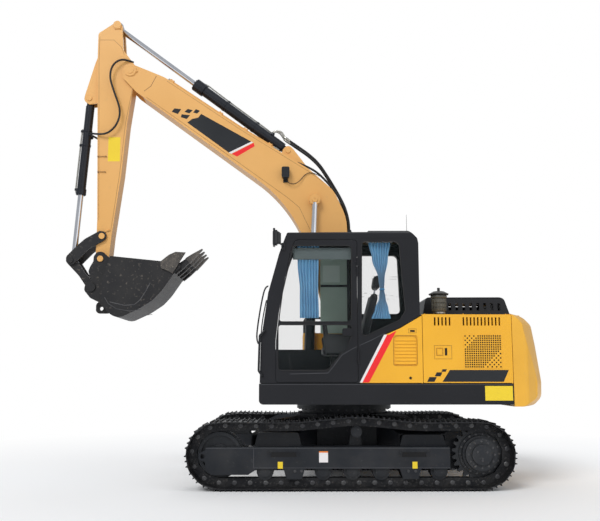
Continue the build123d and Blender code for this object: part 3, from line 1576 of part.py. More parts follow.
# Cylinder rows: foot, eye, gland's distance from the foot, collar's length
# and radius, length of rod inside the barrel, barrel radius, rod radius, eye
# radius, eye half-width, Y of its middle.
BOOM_CYLINDER = (BOOM_CYL_FOOT, BOOM_CYL_EYE, 1270.0, 75.0, 69.0, 160.0, 60.0, 37.0, 66.0, 30.0, 228.0)
ARM_CYLINDER = (ARM_CYL_FOOT, ARM_CYL_EYE, 1535.0, 150.0, 83.0, 145.0, 68.0, 37.0, 68.0, EYE_HALF_WIDTH, 0.0)
BUCKET_CYLINDER = (
    BUCKET_CYL_FOOT, ROCKER_END, 1280.0, 75.0, 65.0, 230.0, 56.0, 35.0, 62.0, EYE_HALF_WIDTH, 0.0)


def barrel_of(row, side):
    """The barrel of one cylinder row, with the bore its rod slides in."""
    foot, eye, gland, collar_length, collar_radius, inside, barrel_radius, rod_radius = row[:8]
    eye_radius, half_width, y = row[8:]
    barrel = cylinder_barrel(
        foot, eye, gland, collar_length, collar_radius, barrel_radius, eye_radius, half_width, side * y)
    return barrel - rod_bore(foot, eye, gland, gland - eye_radius - 60, rod_radius + SEAT_GAP, side * y)


def rod_of(row, side):
    """The rod of one cylinder row."""
    foot, eye, gland, collar_length, collar_radius, inside, barrel_radius, rod_radius = row[:8]
    eye_radius, half_width, y = row[8:]
    return cylinder_rod(foot, eye, gland - inside, rod_radius, eye_radius, half_width, side * y)


# Arm

def arm_rows():
    """Side outline of the arm: x, z, corner radius."""
    ax, az = ARM_PIVOT
    bx, bz = BUCKET_PIVOT
    ex, ez = ARM_CYL_EYE
    return [
        (-3217, 5732, 60),
        (ex + 3, ez + 54, 45),
        (ex + 68, ez - 8, 40),
        (ex + 67, ez - 72, 60),
        (-2880, 5500, 100),
        (ax + 20, az + 125, 80),
        (ax + 112, az + 10, 90),
        (ax + 50, az - 130, 150),
        (-2800, 4502, 0),
        (-2854, 3833, 0),
        (-2953, 3022, 0),
        (bx + 96, bz + 60, 40),
        (bx + 55, bz - 82, 60),
        (bx - 75, bz - 72, 60),
        (bx - 75, bz + 110, 60),
        (-3143, 3216, 0),
        (-3169, 4005, 0),
        (-3215, 5360, 0),
    ]


def arm():
    """The hollow arm, open between its ears at the top."""
    rows = arm_rows()
    half = ARM_HALF_WIDTH
    body = prism_y(rows, -half, half)
    hollow = prism_y(inset(rows, ARM_PLATE + 4), -half + ARM_PLATE, half - ARM_PLATE)
    hollow = hollow - disc_y(ARM_PIVOT, 100, -half, half)
    hollow = hollow - disc_y(BUCKET_PIVOT, 110, -half, half)
    hollow = hollow - disc_y(ROCKER_PIVOT, 62, -half, half)
    px, pz = ARM_PIVOT
    ex, ez = ARM_CYL_EYE
    web = [(px - 455, pz + 152), (px + 35, pz + 122), (px + 35, pz + 137), (px - 455, pz + 167)]
    hollow = hollow - prism_y(web, -half, half)
    body = body - hollow
    slot = [
        (ex - 150, ez + 250),
        (px - 415, pz + 292),
        (px - 375, pz + 212),
        (px - 45, pz + 192),
        (ex + 470, pz + 392),
        (ex + 470, ez + 250),
    ]
    body = body - prism_y(slot, -ARM_EAR_IN, ARM_EAR_IN)
    body = body - disc_y(ARM_PIVOT, BOOM_PIN + PIN_PLAY, -half - 5, half + 5)
    for side in (-1, 1):
        body = body + disc_y(ARM_CYL_EYE, 52, side * (ARM_EAR_IN + 4), side * (half + 16))
        body = body + disc_y(BUCKET_PIVOT, 74, side * (half - 5), side * (EAR_IN - SEAT_GAP))
        body = body + disc_y(BUCKET_PIVOT, BUCKET_PIN, side * (half - 5), side * (EAR_IN + EAR_PLATE + 14))
        body = body + disc_y(ROCKER_PIVOT, 60, side * (half - 5), side * (ROCKER_IN - SEAT_GAP))
        pin_end = side * (ROCKER_IN + ROCKER_PLATE + 12)
        body = body + disc_y(ROCKER_PIVOT, BUCKET_PIN, side * (half - 5), pin_end)
    cx, cz = BUCKET_CYL_FOOT
    bracket = [
        (cx + 117, cz + 650),
        (cx + 50, cz + 450, 60),
        (cx - 62, cz + 40, 30),
        (cx - 72, cz - 30, 60),
        (cx, cz - 82, 60),
        (cx + 142, cz - 60),
        (cx + 142, cz + 650),
    ]
    for y_low, y_high in ((-80, -58), (58, 80)):
        body = body + prism_y(bracket, y_low, y_high)
    return body + disc_y(BUCKET_CYL_FOOT, CYL_PIN, -92, 92)


# Bucket linkage

def rocker():
    """The two rocker plates with their pins into the link."""
    rx, rz = ROCKER_PIVOT
    ex, ez = ROCKER_END
    hump_a = along(ROCKER_PIVOT, ROCKER_END, 190, -105)
    hump_b = along(ROCKER_PIVOT, ROCKER_END, 330, -95)
    dip = along(ROCKER_PIVOT, ROCKER_END, 230, 28)
    start_a = along(ROCKER_PIVOT, ROCKER_END, -20, -72)
    start_b = along(ROCKER_PIVOT, ROCKER_END, -75, -10)
    start_c = along(ROCKER_PIVOT, ROCKER_END, -20, 68)
    end_a = along(ROCKER_PIVOT, ROCKER_END, 510, -70)
    end_b = along(ROCKER_PIVOT, ROCKER_END, 562, 0)
    end_c = along(ROCKER_PIVOT, ROCKER_END, 510, 68)
    rows = [
        (*start_b, 50), (*start_a, 50), (*hump_a, 150), (*hump_b, 150),
        (*end_a, 60), (*end_b, 50), (*end_c, 60),
        (*dip, 200), (*start_c, 60),
    ]
    pieces = []
    out = ROCKER_IN + ROCKER_PLATE
    for side in (-1, 1):
        plate = prism_y(rows, min(side * ROCKER_IN, side * out), max(side * ROCKER_IN, side * out))
        pin = disc_y(ROCKER_END, BUCKET_PIN - 3, side * (LINK_ARM_IN - 12), side * (out + 14))
        bore = disc_y(ROCKER_PIVOT, BUCKET_PIN + PIN_PLAY, side * (ROCKER_IN - 5), side * (out + 5))
        pieces.append(plate + pin - bore)
    return pieces


def link():
    """The H-shaped link from the rocker to the bucket."""
    length = apart(ROCKER_END, LINK_END)
    rows = []
    for distance, aside, radius in (
        (-62, -25, 40), (-20, -62, 40), (length * 0.5, -40, 300),
        (length + 20, -58, 40), (length + 60, -20, 40),
        (length + 60, 20, 40), (length + 20, 58, 40), (length * 0.5, 40, 300), (-20, 62, 40), (-62, 25, 40),
    ):
        rows.append((*along(ROCKER_END, LINK_END, distance, aside), radius))
    arms = []
    for side in (-1, 1):
        low = min(side * LINK_ARM_IN, side * LINK_ARM_OUT)
        plate = prism_y(rows, low, low + LINK_ARM_OUT - LINK_ARM_IN)
        bore_radius = BUCKET_PIN - 3 + PIN_PLAY
        bore = disc_y(ROCKER_END, bore_radius, side * (LINK_ARM_IN - 5), side * (LINK_ARM_OUT + 5))
        arms.append(plate - bore)
    cross = disc_y(along(ROCKER_END, LINK_END, length * 0.62), 38, -LINK_ARM_IN - 2, LINK_ARM_IN + 2)
    pin = disc_y(LINK_END, BUCKET_PIN - 3, -LINK_ARM_IN - 2, LINK_ARM_IN + 2)
    return joined(arms[0], cross, arms[1], pin)


# Bucket. Side outline rows: x, z, corner radius.

LIP_EDGE = (-2026.0, 2565.0)
TOOTH_TIP = (-1762.0, 2803.0)
ADAPTER_REACH = 120.0


def tooth_places():
    """The Y of each tooth's middle."""
    reach = BUCKET_HALF_WIDTH - 52
    step = 2 * reach / (TOOTH_COUNT - 1)
    return [-reach + step * i for i in range(TOOTH_COUNT)]


def bucket_rows():
    """Outline of the bucket's side, from its back lip round to the edge."""
    lx, lz = LIP_EDGE
    return [
        (-2895, 2712, 0),
        (-2940, 2560, 100),
        (-2992, 2400, 200),
        (-3002, 2200, 200),
        (-2930, 2035, 200),
        (-2790, 1932, 160),
        (-2510, 2064, 500),
        (-2348, 2174, 300),
        (-2246, 2288, 400),
        (lx - 88, lz - 82, 40),
        (lx, lz, 0),
        (-2035, 2630, 0),
        (-2249, 2646, 0),
    ]


def bucket_space():
    """Outline of the bucket's inside, open above."""
    rows = inset(bucket_rows(), BUCKET_SKIN)
    x, z = rows[0][:2]
    return [(x + 12, z + 60, 0)] + rows[1:11] + [(LIP_EDGE[0] + 20, z + 60, 0)]


def bucket():
    """The bucket: sides, wrapper, ears, lip and the lifting eye."""
    half = BUCKET_HALF_WIDTH
    inner_rows = bucket_space()
    body = prism_y(bucket_rows(), -half, half)
    body = body - prism_y(inner_rows, -half + BUCKET_SIDE_PLATE, half - BUCKET_SIDE_PLATE)
    lip = [
        along(LIP_EDGE, TOOTH_TIP, -165, 0),
        LIP_EDGE,
        along(LIP_EDGE, TOOTH_TIP, 0, 30),
        along(LIP_EDGE, TOOTH_TIP, -165, 30),
    ]
    body = body + prism_y(lip, -half, half)
    for y in tooth_places():
        adapter = [
            along(LIP_EDGE, TOOTH_TIP, -95, -20),
            along(LIP_EDGE, TOOTH_TIP, 15, -26),
            along(LIP_EDGE, TOOTH_TIP, ADAPTER_REACH, -20),
            along(LIP_EDGE, TOOTH_TIP, ADAPTER_REACH, 46),
            along(LIP_EDGE, TOOTH_TIP, 15, 62),
            along(LIP_EDGE, TOOTH_TIP, -95, 44),
        ]
        body = body + prism_y(adapter, y - TOOTH_WIDTH / 2 + 4, y + TOOTH_WIDTH / 2 - 4)
    px, pz = BUCKET_PIVOT
    kx, kz = LINK_END
    ear = [
        (px + 30, pz + 88, 60),
        (px + 105, pz + 20, 40),
        (-2880, 2700, 0),
        (-2905, 2560, 0),
        (-2960, 2400, 0),
        (-2960, 2230, 0),
        (-2900, 2080, 0),
        (-2930, 2035, 0),
        (kx + 201, kz - 287, 20),
        (kx + 101, kz - 187, 60),
        (kx - 4, kz - 136, 60),
        (kx - 86, kz - 36, 60),
        (kx - 70, kz + 43, 60),
        (kx + 2, kz + 90, 50),
        (px - 146, pz - 160, 50),
        (px - 122, pz - 96, 60),
        (px - 86, pz - 33, 60),
        (px - 84, pz + 33, 60),
        (px - 40, pz + 90, 50),
    ]
    for side in (-1, 1):
        low = min(side * EAR_IN, side * (EAR_IN + EAR_PLATE))
        high = max(side * EAR_IN, side * (EAR_IN + EAR_PLATE))
        plate = prism_y(ear, low, high) - prism_y(inner_rows, low - 1, high + 1)
        out = EAR_IN + EAR_PLATE
        boss = disc_y(LINK_END, 58, side * (out - 4), side * (out + 18))
        body = body + plate + boss
        body = body - disc_y(BUCKET_PIVOT, BUCKET_PIN + PIN_PLAY, side * (EAR_IN - 5), side * (out + 20))
    ex, ez = LIFT_EYE
    reach = LIFT_EYE_RADIUS
    eye_rows = [
        (ex - reach, ez - reach + 8, 50),
        (ex - reach, ez + reach - 8, 50),
        (ex + 60, ez + 150, 0),
        (-2960, 2230, 0),
        (-2880, 2050, 0),
        (ex + reach, ez - reach + 8, 50),
    ]
    half_plate = LIFT_EYE_PLATE / 2
    eye_plate = prism_y(eye_rows, -half_plate, half_plate)
    body = body + (eye_plate - prism_y(inner_rows, -half_plate - 1, half_plate + 1))
    return body - disc_y(LIFT_EYE, LIFT_EYE_HOLE, -LIFT_EYE_PLATE, LIFT_EYE_PLATE)


def bucket_teeth():
    """The teeth, each at the end of its adapter on the lip."""
    teeth = []
    reach = apart(LIP_EDGE, TOOTH_TIP)
    base = ADAPTER_REACH + SEAT_GAP
    for y in tooth_places():
        side = [
            along(LIP_EDGE, TOOTH_TIP, base, -28),
            along(LIP_EDGE, TOOTH_TIP, base + 90, -20),
            along(LIP_EDGE, TOOTH_TIP, reach, -3),
            along(LIP_EDGE, TOOTH_TIP, reach, 6),
            along(LIP_EDGE, TOOTH_TIP, base + 90, 40),
            along(LIP_EDGE, TOOTH_TIP, base, 54),
        ]
        teeth.append(prism_y(side, y - TOOTH_WIDTH / 2, y + TOOTH_WIDTH / 2))
    return teeth


def side_cutters():
    """The bolt-on cutters at the bucket's front corners."""
    rows = [
        (-2261, 2559),
        (-2278, 2636),
        (-2173, 2722),
        (-2089, 2761),
        (-1965, 2754),
        (-2040, 2629),
        (-2121, 2489),
        (-2168, 2520),
    ]
    low = -BUCKET_HALF_WIDTH - 22
    return both_sides(prism_y(rows, low, -BUCKET_HALF_WIDTH - SEAT_GAP))


# Nodes

def parts_of(shapes):
    """One compound from solids or lists of solids."""
    flat = []
    for shape in shapes if isinstance(shapes, list) else [shapes]:
        flat += shape if isinstance(shape, list) else [shape]
    solids = []
    for shape in flat:
        solids += shape.solids()
    return Compound(children=solids) if len(solids) > 1 else solids[0]


def each_side(shapes):
    """The left shapes and their mirror images."""
    rows = shapes if isinstance(shapes, list) else [shapes]
    return rows + [mirrored(shape) for shape in rows]


def nodes():
    """Every node's name with its solids."""
    return {
        "car_body": car_body(),
        "swing_ring_lower": swing_ring_lower(),
        "track_frames": each_side(track_frame()),
        "track_shoes": each_side(track_shoes()),
        "track_chains": each_side(track_chain()),
        "track_rollers": each_side(track_rollers() + [carrier_roller()]),
        "idlers": each_side(idler()),
        "sprockets": each_side(sprocket()),
        "final_drives": each_side(final_drive()),
        "swing_ring_upper": swing_ring_upper(),
        "side_decks": each_side(side_deck()),
        "revolving_frame": revolving_frame(),
        "swing_motor": swing_motor(),
        "valve_cover": valve_cover(),
        "engine_bay_frame": engine_bay(),
        "top_deck": top_deck(),
        "engine_block": engine_block(),
        "counterweight": counterweight(),
        "tanks": [fuel_tank(), hydraulic_tank()],
        "tool_box": tool_box(),
        "pre_cleaner": pre_cleaner(),
        "exhaust_pipe": exhaust_pipe(),
        "rails_and_mirror": handrails() + mirrors(),
        "cab_left_side": cab_left_side(),
        "cab_right_side": cab_right_side(),
        "cab_front": cab_front(),
        "cab_rear": cab_rear(),
        "cab_roof": cab_roof(),
        "cab_floor": cab_floor(),
        "cab_glass": cab_glass(),
        "seat_base": seat(),
        "seat_cushions": seat_cushions(),
        "consoles": consoles(),
        "curtains": curtains(),
        "cab_door": cab_door(),
        "cab_door_glass": cab_door_glass(),
        "left_front_door": left_front_door(),
        "left_rear_door": left_rear_door(),
        "right_rear_door": right_rear_door(),
        "engine_hood": engine_hood(),
        "tool_box_lid": tool_box_lid(),
        "boom": boom(),
        "boom_pipes": boom_pipes(),
        "boom_lamp": boom_lamp(),
        "boom_cylinder_barrels": [barrel_of(BOOM_CYLINDER, side) for side in (-1, 1)],
        "boom_cylinder_rods": [rod_of(BOOM_CYLINDER, side) for side in (-1, 1)],
        "arm_cylinder_barrel": barrel_of(ARM_CYLINDER, 1),
        "arm_cylinder_rod": rod_of(ARM_CYLINDER, 1),
        "arm": arm(),
        "bucket_cylinder_barrel": barrel_of(BUCKET_CYLINDER, 1),
        "bucket_cylinder_rod": rod_of(BUCKET_CYLINDER, 1),
        "rocker": rocker(),
        "link": link(),
        "bucket": bucket(),
        "bucket_teeth": bucket_teeth() + side_cutters(),
    }


def main():
    os.makedirs("parts", exist_ok=True)
    for name, shapes in nodes().items():
        export_step(parts_of(shapes), f"parts/{name}.step")


main()
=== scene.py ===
"""Looks of the crawler excavator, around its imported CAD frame."""

import json
from math import atan2, cos, exp, hypot, pi, radians, sin, tan

import bmesh
import bpy
from mathutils import Matrix, Vector


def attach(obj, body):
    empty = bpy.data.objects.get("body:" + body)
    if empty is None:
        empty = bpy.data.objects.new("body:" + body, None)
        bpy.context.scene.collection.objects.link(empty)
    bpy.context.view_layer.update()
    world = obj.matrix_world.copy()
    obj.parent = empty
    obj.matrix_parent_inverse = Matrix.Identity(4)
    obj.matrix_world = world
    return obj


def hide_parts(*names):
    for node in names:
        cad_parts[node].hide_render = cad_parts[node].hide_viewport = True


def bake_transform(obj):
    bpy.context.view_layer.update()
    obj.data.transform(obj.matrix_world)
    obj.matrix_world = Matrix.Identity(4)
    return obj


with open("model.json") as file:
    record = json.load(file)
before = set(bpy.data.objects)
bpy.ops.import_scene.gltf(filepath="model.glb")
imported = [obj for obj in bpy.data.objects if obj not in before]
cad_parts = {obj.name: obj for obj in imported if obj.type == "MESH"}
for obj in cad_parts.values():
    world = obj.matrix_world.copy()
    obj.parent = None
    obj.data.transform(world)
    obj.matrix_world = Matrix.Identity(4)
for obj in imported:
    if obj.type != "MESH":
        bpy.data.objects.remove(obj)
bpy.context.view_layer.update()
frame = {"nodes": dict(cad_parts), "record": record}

MM = 0.001
SIDES = ((-1, "left"), (1, "right"))
SLOTS = {row["node"]: row["material_slot"] for row in frame["record"]["subparts"]}
bpy.context.scene.view_settings.view_transform = "Standard"


# Shader nodes

class Tree:
    """The nodes of a material or world. Inputs are sockets or values, by name or number."""

    def __init__(self, owner, empty=False):
        owner.use_nodes = True
        self.owner = owner
        self.nodes = owner.node_tree.nodes
        self.links = owner.node_tree.links
        if empty:
            self.nodes.clear()

    def put(self, node, inputs):
        """Links or sets inputs of a node."""
        for key, value in inputs.items():
            socket = node.inputs[key]
            if isinstance(value, bpy.types.NodeSocket):
                self.links.new(value, socket)
            else:
                socket.default_value = (*value, 1) if socket.type == "RGBA" else value

    def add(self, kind, inputs, output=0, **settings):
        """A new node, as one of its outputs."""
        node = self.nodes.new("ShaderNode" + kind)
        for name, value in settings.items():
            setattr(node, name, value)
        self.put(node, inputs)
        return node.outputs[output] if node.outputs else None

    def place(self):
        """The object's own coordinates."""
        return self.add("TexCoord", {}, "Object")

    def noise(self, place, scale, detail=4.0):
        """A noise value."""
        return self.add("TexNoise", {"Vector": place, "Scale": scale, "Detail": detail}, "Fac")

    def ranged(self, value, low, high, to_low=0.0, to_high=1.0):
        """A value carried from one range to another, clamped."""
        return self.add("MapRange", {
            "Value": value, "From Min": low, "From Max": high, "To Min": to_low, "To Max": to_high})

    def product(self, first, second):
        """Two values multiplied."""
        return self.add("Math", {0: first, 1: second}, operation="MULTIPLY")

    def mixed(self, factor, first, second, kind="MIX"):
        """Two colours mixed."""
        return self.add("Mix", {0: factor, 6: first, 7: second}, 2, data_type="RGBA", blend_type=kind)

    def finish(self, inputs, height=None, strength=0.0, distance=0.001):
        """Gives the surface its inputs, and a bump from a height."""
        if height:
            bump = {"Height": height, "Strength": strength, "Distance": distance}
            inputs = {**inputs, "Normal": self.add("Bump", bump)}
        self.put(self.nodes["Principled BSDF"], inputs)
        return self.owner


# Camera, lights and stage

CAMERA_PLACE = (-0.620, -10.190, 1.246)
CAMERA_PITCH = 8.2
CAMERA_YAW = -0.4
LENS = 48.0
SENSOR = 36.0
WHITE = (1, 1, 1)
SKY = (0.93, 0.96, 1.0)
SKY_STRENGTH = 0.52
FLOOR_PAINT = (0.93, 0.93, 0.93)
FLOOR_RADIUS = 90
# Where the floor starts to turn white and where it is all white, in metres from the axis.
FLOOR_FADE = (3.5, 9.0)
# Suns: name, strength, angle, elevation, azimuth. Azimuth 0 shines along +Y, as the camera looks.
SUNS = (
    ("key_light", 1.55, 24, 38, -28),
    ("fill_light", 0.5, 60, 25, 40),
    ("back_light", 0.5, 60, 45, 190),
)


def placed(name, data, rotation):
    """A camera or light in the scene, turned by degrees about x and z."""
    thing = bpy.data.objects.new(name, data)
    thing.rotation_euler = (radians(rotation[0]), 0, radians(rotation[1]))
    bpy.context.scene.collection.objects.link(thing)
    return thing


def add_camera():
    """The photograph's viewpoint."""
    data = bpy.data.cameras.new("camera")
    data.lens = LENS
    data.sensor_width = SENSOR
    data.clip_end = 200.0
    camera = placed("camera", data, (90 + CAMERA_PITCH, CAMERA_YAW))
    camera.location = CAMERA_PLACE
    bpy.context.scene.camera = camera


def seen_directly(tree):
    """1 for camera and transmitted rays, 0 for the light that falls on things or mirrors in them."""
    path = tree.nodes.new("ShaderNodeLightPath").outputs
    rays = {0: path["Is Camera Ray"], 1: path["Is Transmission Ray"]}
    return tree.add("Math", rays, operation="MAXIMUM")


def add_world():
    """A white surround that lights softly."""
    world = bpy.data.worlds.new("surround")
    bpy.context.scene.world = world
    tree = Tree(world, empty=True)
    seen = tree.add("Background", {"Color": WHITE, "Strength": 1.0})
    lighting = tree.add("Background", {"Color": SKY, "Strength": SKY_STRENGTH})
    surround = tree.add("MixShader", {0: seen_directly(tree), 1: lighting, 2: seen})
    tree.add("OutputWorld", {"Surface": surround})


def add_suns():
    """Soft far lights."""
    for name, strength, angle, elevation, azimuth in SUNS:
        data = bpy.data.lights.new(name, "SUN")
        data.energy = strength
        data.angle = radians(angle)
        placed(name, data, (90 - elevation, azimuth))


def add_floor():
    """A pale floor that takes the shadow and turns plain white further out."""
    bpy.ops.mesh.primitive_circle_add(vertices=64, radius=FLOOR_RADIUS, fill_type="NGON")
    floor = bpy.context.object
    floor.name = "floor"
    tree = Tree(bpy.data.materials.new("floor_paint"), empty=True)
    distance = tree.add("VectorMath", {0: tree.place()}, "Value", operation="LENGTH")
    paint = tree.add("BsdfDiffuse", {"Color": FLOOR_PAINT})
    white = tree.add("Emission", {"Color": WHITE})
    part = tree.product(seen_directly(tree), tree.ranged(distance, *FLOOR_FADE))
    surface = tree.add("MixShader", {0: part, 1: paint, 2: white})
    tree.add("OutputMaterial", {"Surface": surface})
    floor.data.materials.append(tree.owner)


# Materials

DUST = (0.13, 0.12, 0.105)
DUST_TOP = 1.3
# Finishes darker than this shine less.
DARK = 0.04
DARK_SHINE = 0.3
SHINE = 0.5

# Finish: colour, shade, worn colour, roughness low and high, metallic, size of
# the broad variation, size of the grain, bump, dust near the ground, chips.
FINISHES = {
    "screen_pale": (
        (0.46, 0.56, 0.5), (0.5, 0.6, 0.54), (0.4, 0.45, 0.42), (0.4, 0.6), 0, 3, 400, 0.1, 0, 0.05),
    "visor_grey": (
        (0.075, 0.1, 0.1), (0.095, 0.12, 0.12), (0.1, 0.12, 0.12), (0.4, 0.55), 0, 3, 400, 0.1, 0, 0.05),
    "worn_steel": (
        (0.055, 0.056, 0.062), (0.11, 0.11, 0.112), (0.16, 0.15, 0.14), (0.3, 0.55), 0.6, 9, 150, 0.4, 0.1,
        0.6),
    # Lighter than the black frame and cab: painted highlight along their edges and creases; darker than the
    # yellow skirt: painted shade in its seam.
    "edge_grey": (
        (0.05, 0.052, 0.06), (0.07, 0.072, 0.08), (0.1, 0.1, 0.1), (0.35, 0.5), 0, 5, 300, 0.15, 0, 0.1),
    "filter_bowl": (
        (0.075, 0.075, 0.065), (0.11, 0.105, 0.085), (0.2, 0.18, 0.13), (0.3, 0.5), 0, 12, 260, 0.2, 0,
        0.4),
    "rubber_black": (
        (0.01, 0.01, 0.011), (0.018, 0.018, 0.019), (0.04, 0.04, 0.04), (0.5, 0.7), 0, 8, 500, 0.2, 0,
        0.05),
    "screen_green": (
        (0.3, 0.4, 0.33), (0.36, 0.46, 0.39), (0.3, 0.32, 0.3), (0.5, 0.7), 0, 3, 400, 0.15, 0, 0.05),
    # Painted shade: the dark outlines round the latch, the grip and the louvre.
    "shade_yellow": (
        (0.36, 0.17, 0.012), (0.3, 0.14, 0.01), (0.2, 0.1, 0.05), (0.4, 0.55), 0, 8, 300, 0.2, 0, 0.05),
    # Darker tan: painted shade along the boom's and arm's weld seams; the arm's studs take it too.
    "dark_tan": (
        (0.3, 0.145, 0.04), (0.25, 0.12, 0.034), (0.35, 0.2, 0.1), (0.35, 0.5), 0, 8, 200, 0.4, 0, 0.1),
    "tie_blue": (
        (0.06, 0.22, 0.42), (0.08, 0.27, 0.48), (0.2, 0.3, 0.4), (0.7, 0.85), 0, 20, 600, 0.3, 0, 0.05),
    "frame_black": (
        (0.008, 0.01, 0.014), (0.014, 0.016, 0.021), (0.07, 0.07, 0.07), (0.38, 0.6), 0, 2.5, 160, 0.25,
        0.12,
        0.15),
    "track_steel": (
        (0.014, 0.015, 0.018), (0.03, 0.03, 0.032), (0.11, 0.105, 0.1), (0.34, 0.62), 0.6, 6, 120, 0.5,
        0.12,
        0.6),
    "cast_steel": (
        (0.014, 0.016, 0.02), (0.026, 0.028, 0.032), (0.09, 0.09, 0.09), (0.32, 0.58), 0.2, 4, 140, 0.4,
        0.12,
        0.35),
    "cab_black": (
        (0.006, 0.0065, 0.009), (0.0085, 0.009, 0.012), (0.04, 0.04, 0.045), (0.34, 0.48), 0, 1.5, 420,
        0.06, 0,
        0.05),
    "body_yellow": (
        (0.83, 0.42, 0.02), (0.78, 0.385, 0.018), (0.55, 0.3, 0.05), (0.24, 0.36), 0, 1.2, 480, 0.05, 0,
        0.04),
    "boom_tan": (
        (0.75, 0.405, 0.125), (0.7, 0.365, 0.105), (0.45, 0.28, 0.12), (0.26, 0.4), 0, 1.3, 420, 0.06, 0,
        0.06),
    "counterweight_iron": (
        (0.8, 0.42, 0.035), (0.74, 0.38, 0.03), (0.5, 0.3, 0.08), (0.3, 0.45), 0, 2, 90, 0.3, 0, 0.08),
    "cylinder_black": (
        (0.012, 0.014, 0.019), (0.018, 0.02, 0.026), (0.08, 0.08, 0.09), (0.22, 0.34), 0.1, 3, 300, 0.08,
        0, 0.12),
    "rod_chrome": (
        (0.72, 0.73, 0.76), (0.64, 0.65, 0.69), (0.4, 0.39, 0.38), (0.08, 0.16), 1, 5, 600, 0.03, 0, 0.05),
    "bucket_black": (
        (0.013, 0.013, 0.015), (0.024, 0.023, 0.023), (0.11, 0.095, 0.08), (0.36, 0.6), 0.1, 3, 130, 0.35,
        0, 0.55),
    "wear_steel": (
        (0.05, 0.046, 0.044), (0.095, 0.085, 0.075), (0.24, 0.21, 0.17), (0.34, 0.62), 0.5, 7, 130, 0.5, 0,
        0.9),
    "cab_plastic": (
        (0.02, 0.021, 0.023), (0.028, 0.029, 0.031), (0.06, 0.06, 0.06), (0.45, 0.6), 0, 3, 350, 0.3, 0,
        0.05),
    "engine_alloy": (
        (0.1, 0.1, 0.105), (0.16, 0.16, 0.165), (0.25, 0.24, 0.23), (0.4, 0.6), 0.7, 5, 110, 0.45, 0, 0.4),
    "filter_plastic": (
        (0.03, 0.031, 0.029), (0.055, 0.052, 0.045), (0.16, 0.14, 0.1), (0.35, 0.55), 0.1, 9, 240, 0.2, 0,
        0.4),
    "tube_steel": (
        (0.013, 0.014, 0.017), (0.022, 0.023, 0.026), (0.09, 0.09, 0.09), (0.28, 0.42), 0.2, 5, 300, 0.1,
        0, 0.1),
    "hose_rubber": (
        (0.011, 0.012, 0.014), (0.02, 0.021, 0.023), (0.05, 0.05, 0.05), (0.42, 0.6), 0, 8, 500, 0.3, 0,
        0.1),
    "fitting_zinc": (
        (0.45, 0.44, 0.4), (0.35, 0.34, 0.31), (0.2, 0.18, 0.14), (0.25, 0.42), 0.9, 30, 500, 0.1, 0, 0.3),
    "stripe_red": (
        (0.84, 0.014, 0.018), (0.76, 0.012, 0.016), (0.5, 0.02, 0.02), (0.25, 0.34), 0, 2, 500, 0.04, 0,
        0.03),
    "stripe_white": (
        (0.8, 0.76, 0.76), (0.72, 0.69, 0.69), (0.5, 0.46, 0.42), (0.25, 0.34), 0, 2, 500, 0.04, 0, 0.05),
    "band_black": (
        (0.012, 0.014, 0.017), (0.017, 0.019, 0.022), (0.05, 0.05, 0.05), (0.28, 0.38), 0, 2, 500, 0.04, 0,
        0.05),
    "label_yellow": (
        (0.82, 0.6, 0.02), (0.78, 0.55, 0.018), (0.6, 0.5, 0.1), (0.28, 0.38), 0, 3, 500, 0.04, 0, 0.05),
    "label_orange": (
        (0.83, 0.2, 0.02), (0.78, 0.17, 0.02), (0.5, 0.2, 0.1), (0.28, 0.38), 0, 3, 500, 0.04, 0, 0.05),
    "shadow_black": (
        (0.004, 0.004, 0.005), (0.007, 0.007, 0.008), (0.02, 0.02, 0.02), (0.6, 0.8), 0, 3, 300, 0.1, 0,
        0.05),
}


def make_material(name, row):
    """A procedural finish from one row of FINISHES."""
    colour, shade, wear, rough, metallic, scale, grain, bump, dust, chips = row
    tree = Tree(bpy.data.materials.new(name))
    place = tree.place()
    broad = tree.ranged(tree.noise(place, scale), 0.35, 0.68)
    fine = tree.noise(place, grain, 6.0)
    flecks = tree.ranged(tree.noise(place, scale * 9, 8.0), 0.66 - chips * 0.12, 0.74)
    base = tree.mixed(tree.product(flecks, min(1.0, chips * 2)), tree.mixed(broad, colour, shade), wear)
    if dust:
        low = tree.ranged(tree.add("SeparateXYZ", {0: place}, "Z"), 0.0, DUST_TOP, 1.0, 0.0)
        cloud = tree.ranged(tree.noise(place, 3.5, 8.0), 0.42, 0.70)
        base = tree.mixed(tree.product(tree.product(low, cloud), dust), base, DUST)
    shine = DARK_SHINE if max(colour) < DARK else SHINE
    inputs = {"Base Color": base, "Roughness": tree.ranged(fine, 0.3, 0.7, *rough), "Metallic": metallic,
              "Specular IOR Level": shine}
    return tree.finish(inputs, fine, bump)


def make_glass():
    """Tinted panes, faintly uneven, see-through both ways."""
    tree = Tree(bpy.data.materials.new("cab_glass"))
    smear = tree.noise(tree.place(), 4.0, 6.0)
    tint = tree.mixed(tree.ranged(smear, 0.35, 0.7), (0.020, 0.035, 0.035), (0.035, 0.05, 0.048))
    tree.owner.surface_render_method = "BLENDED"
    rough = tree.ranged(smear, 0.3, 0.7, 0.02, 0.05)
    return tree.finish({"Base Color": tint, "Roughness": rough, "Alpha": 0.06, "IOR": 1.45})


def make_weave(name, colour, shade, thread, sheen):
    """Woven cloth: warp and weft bumps over a mottled colour."""
    tree = Tree(bpy.data.materials.new(name))
    place = tree.place()
    broad = tree.ranged(tree.noise(place, 6.0), 0.3, 0.7)
    base = tree.mixed(0.35, tree.mixed(broad, colour, shade), (0.6, 0.6, 0.6), "MULTIPLY")
    thread_inputs = {"Vector": place, "Scale": thread, "Distortion": 1.5}
    warp, weft = [tree.add("TexWave", thread_inputs, "Fac", bands_direction=way) for way in "XZ"]
    height = tree.product(warp, weft)
    rough = tree.ranged(height, 0.0, 1.0, 0.95, 0.75)
    return tree.finish({"Base Color": base, "Roughness": rough, "Sheen Weight": sheen}, height, 0.4, 0.0008)


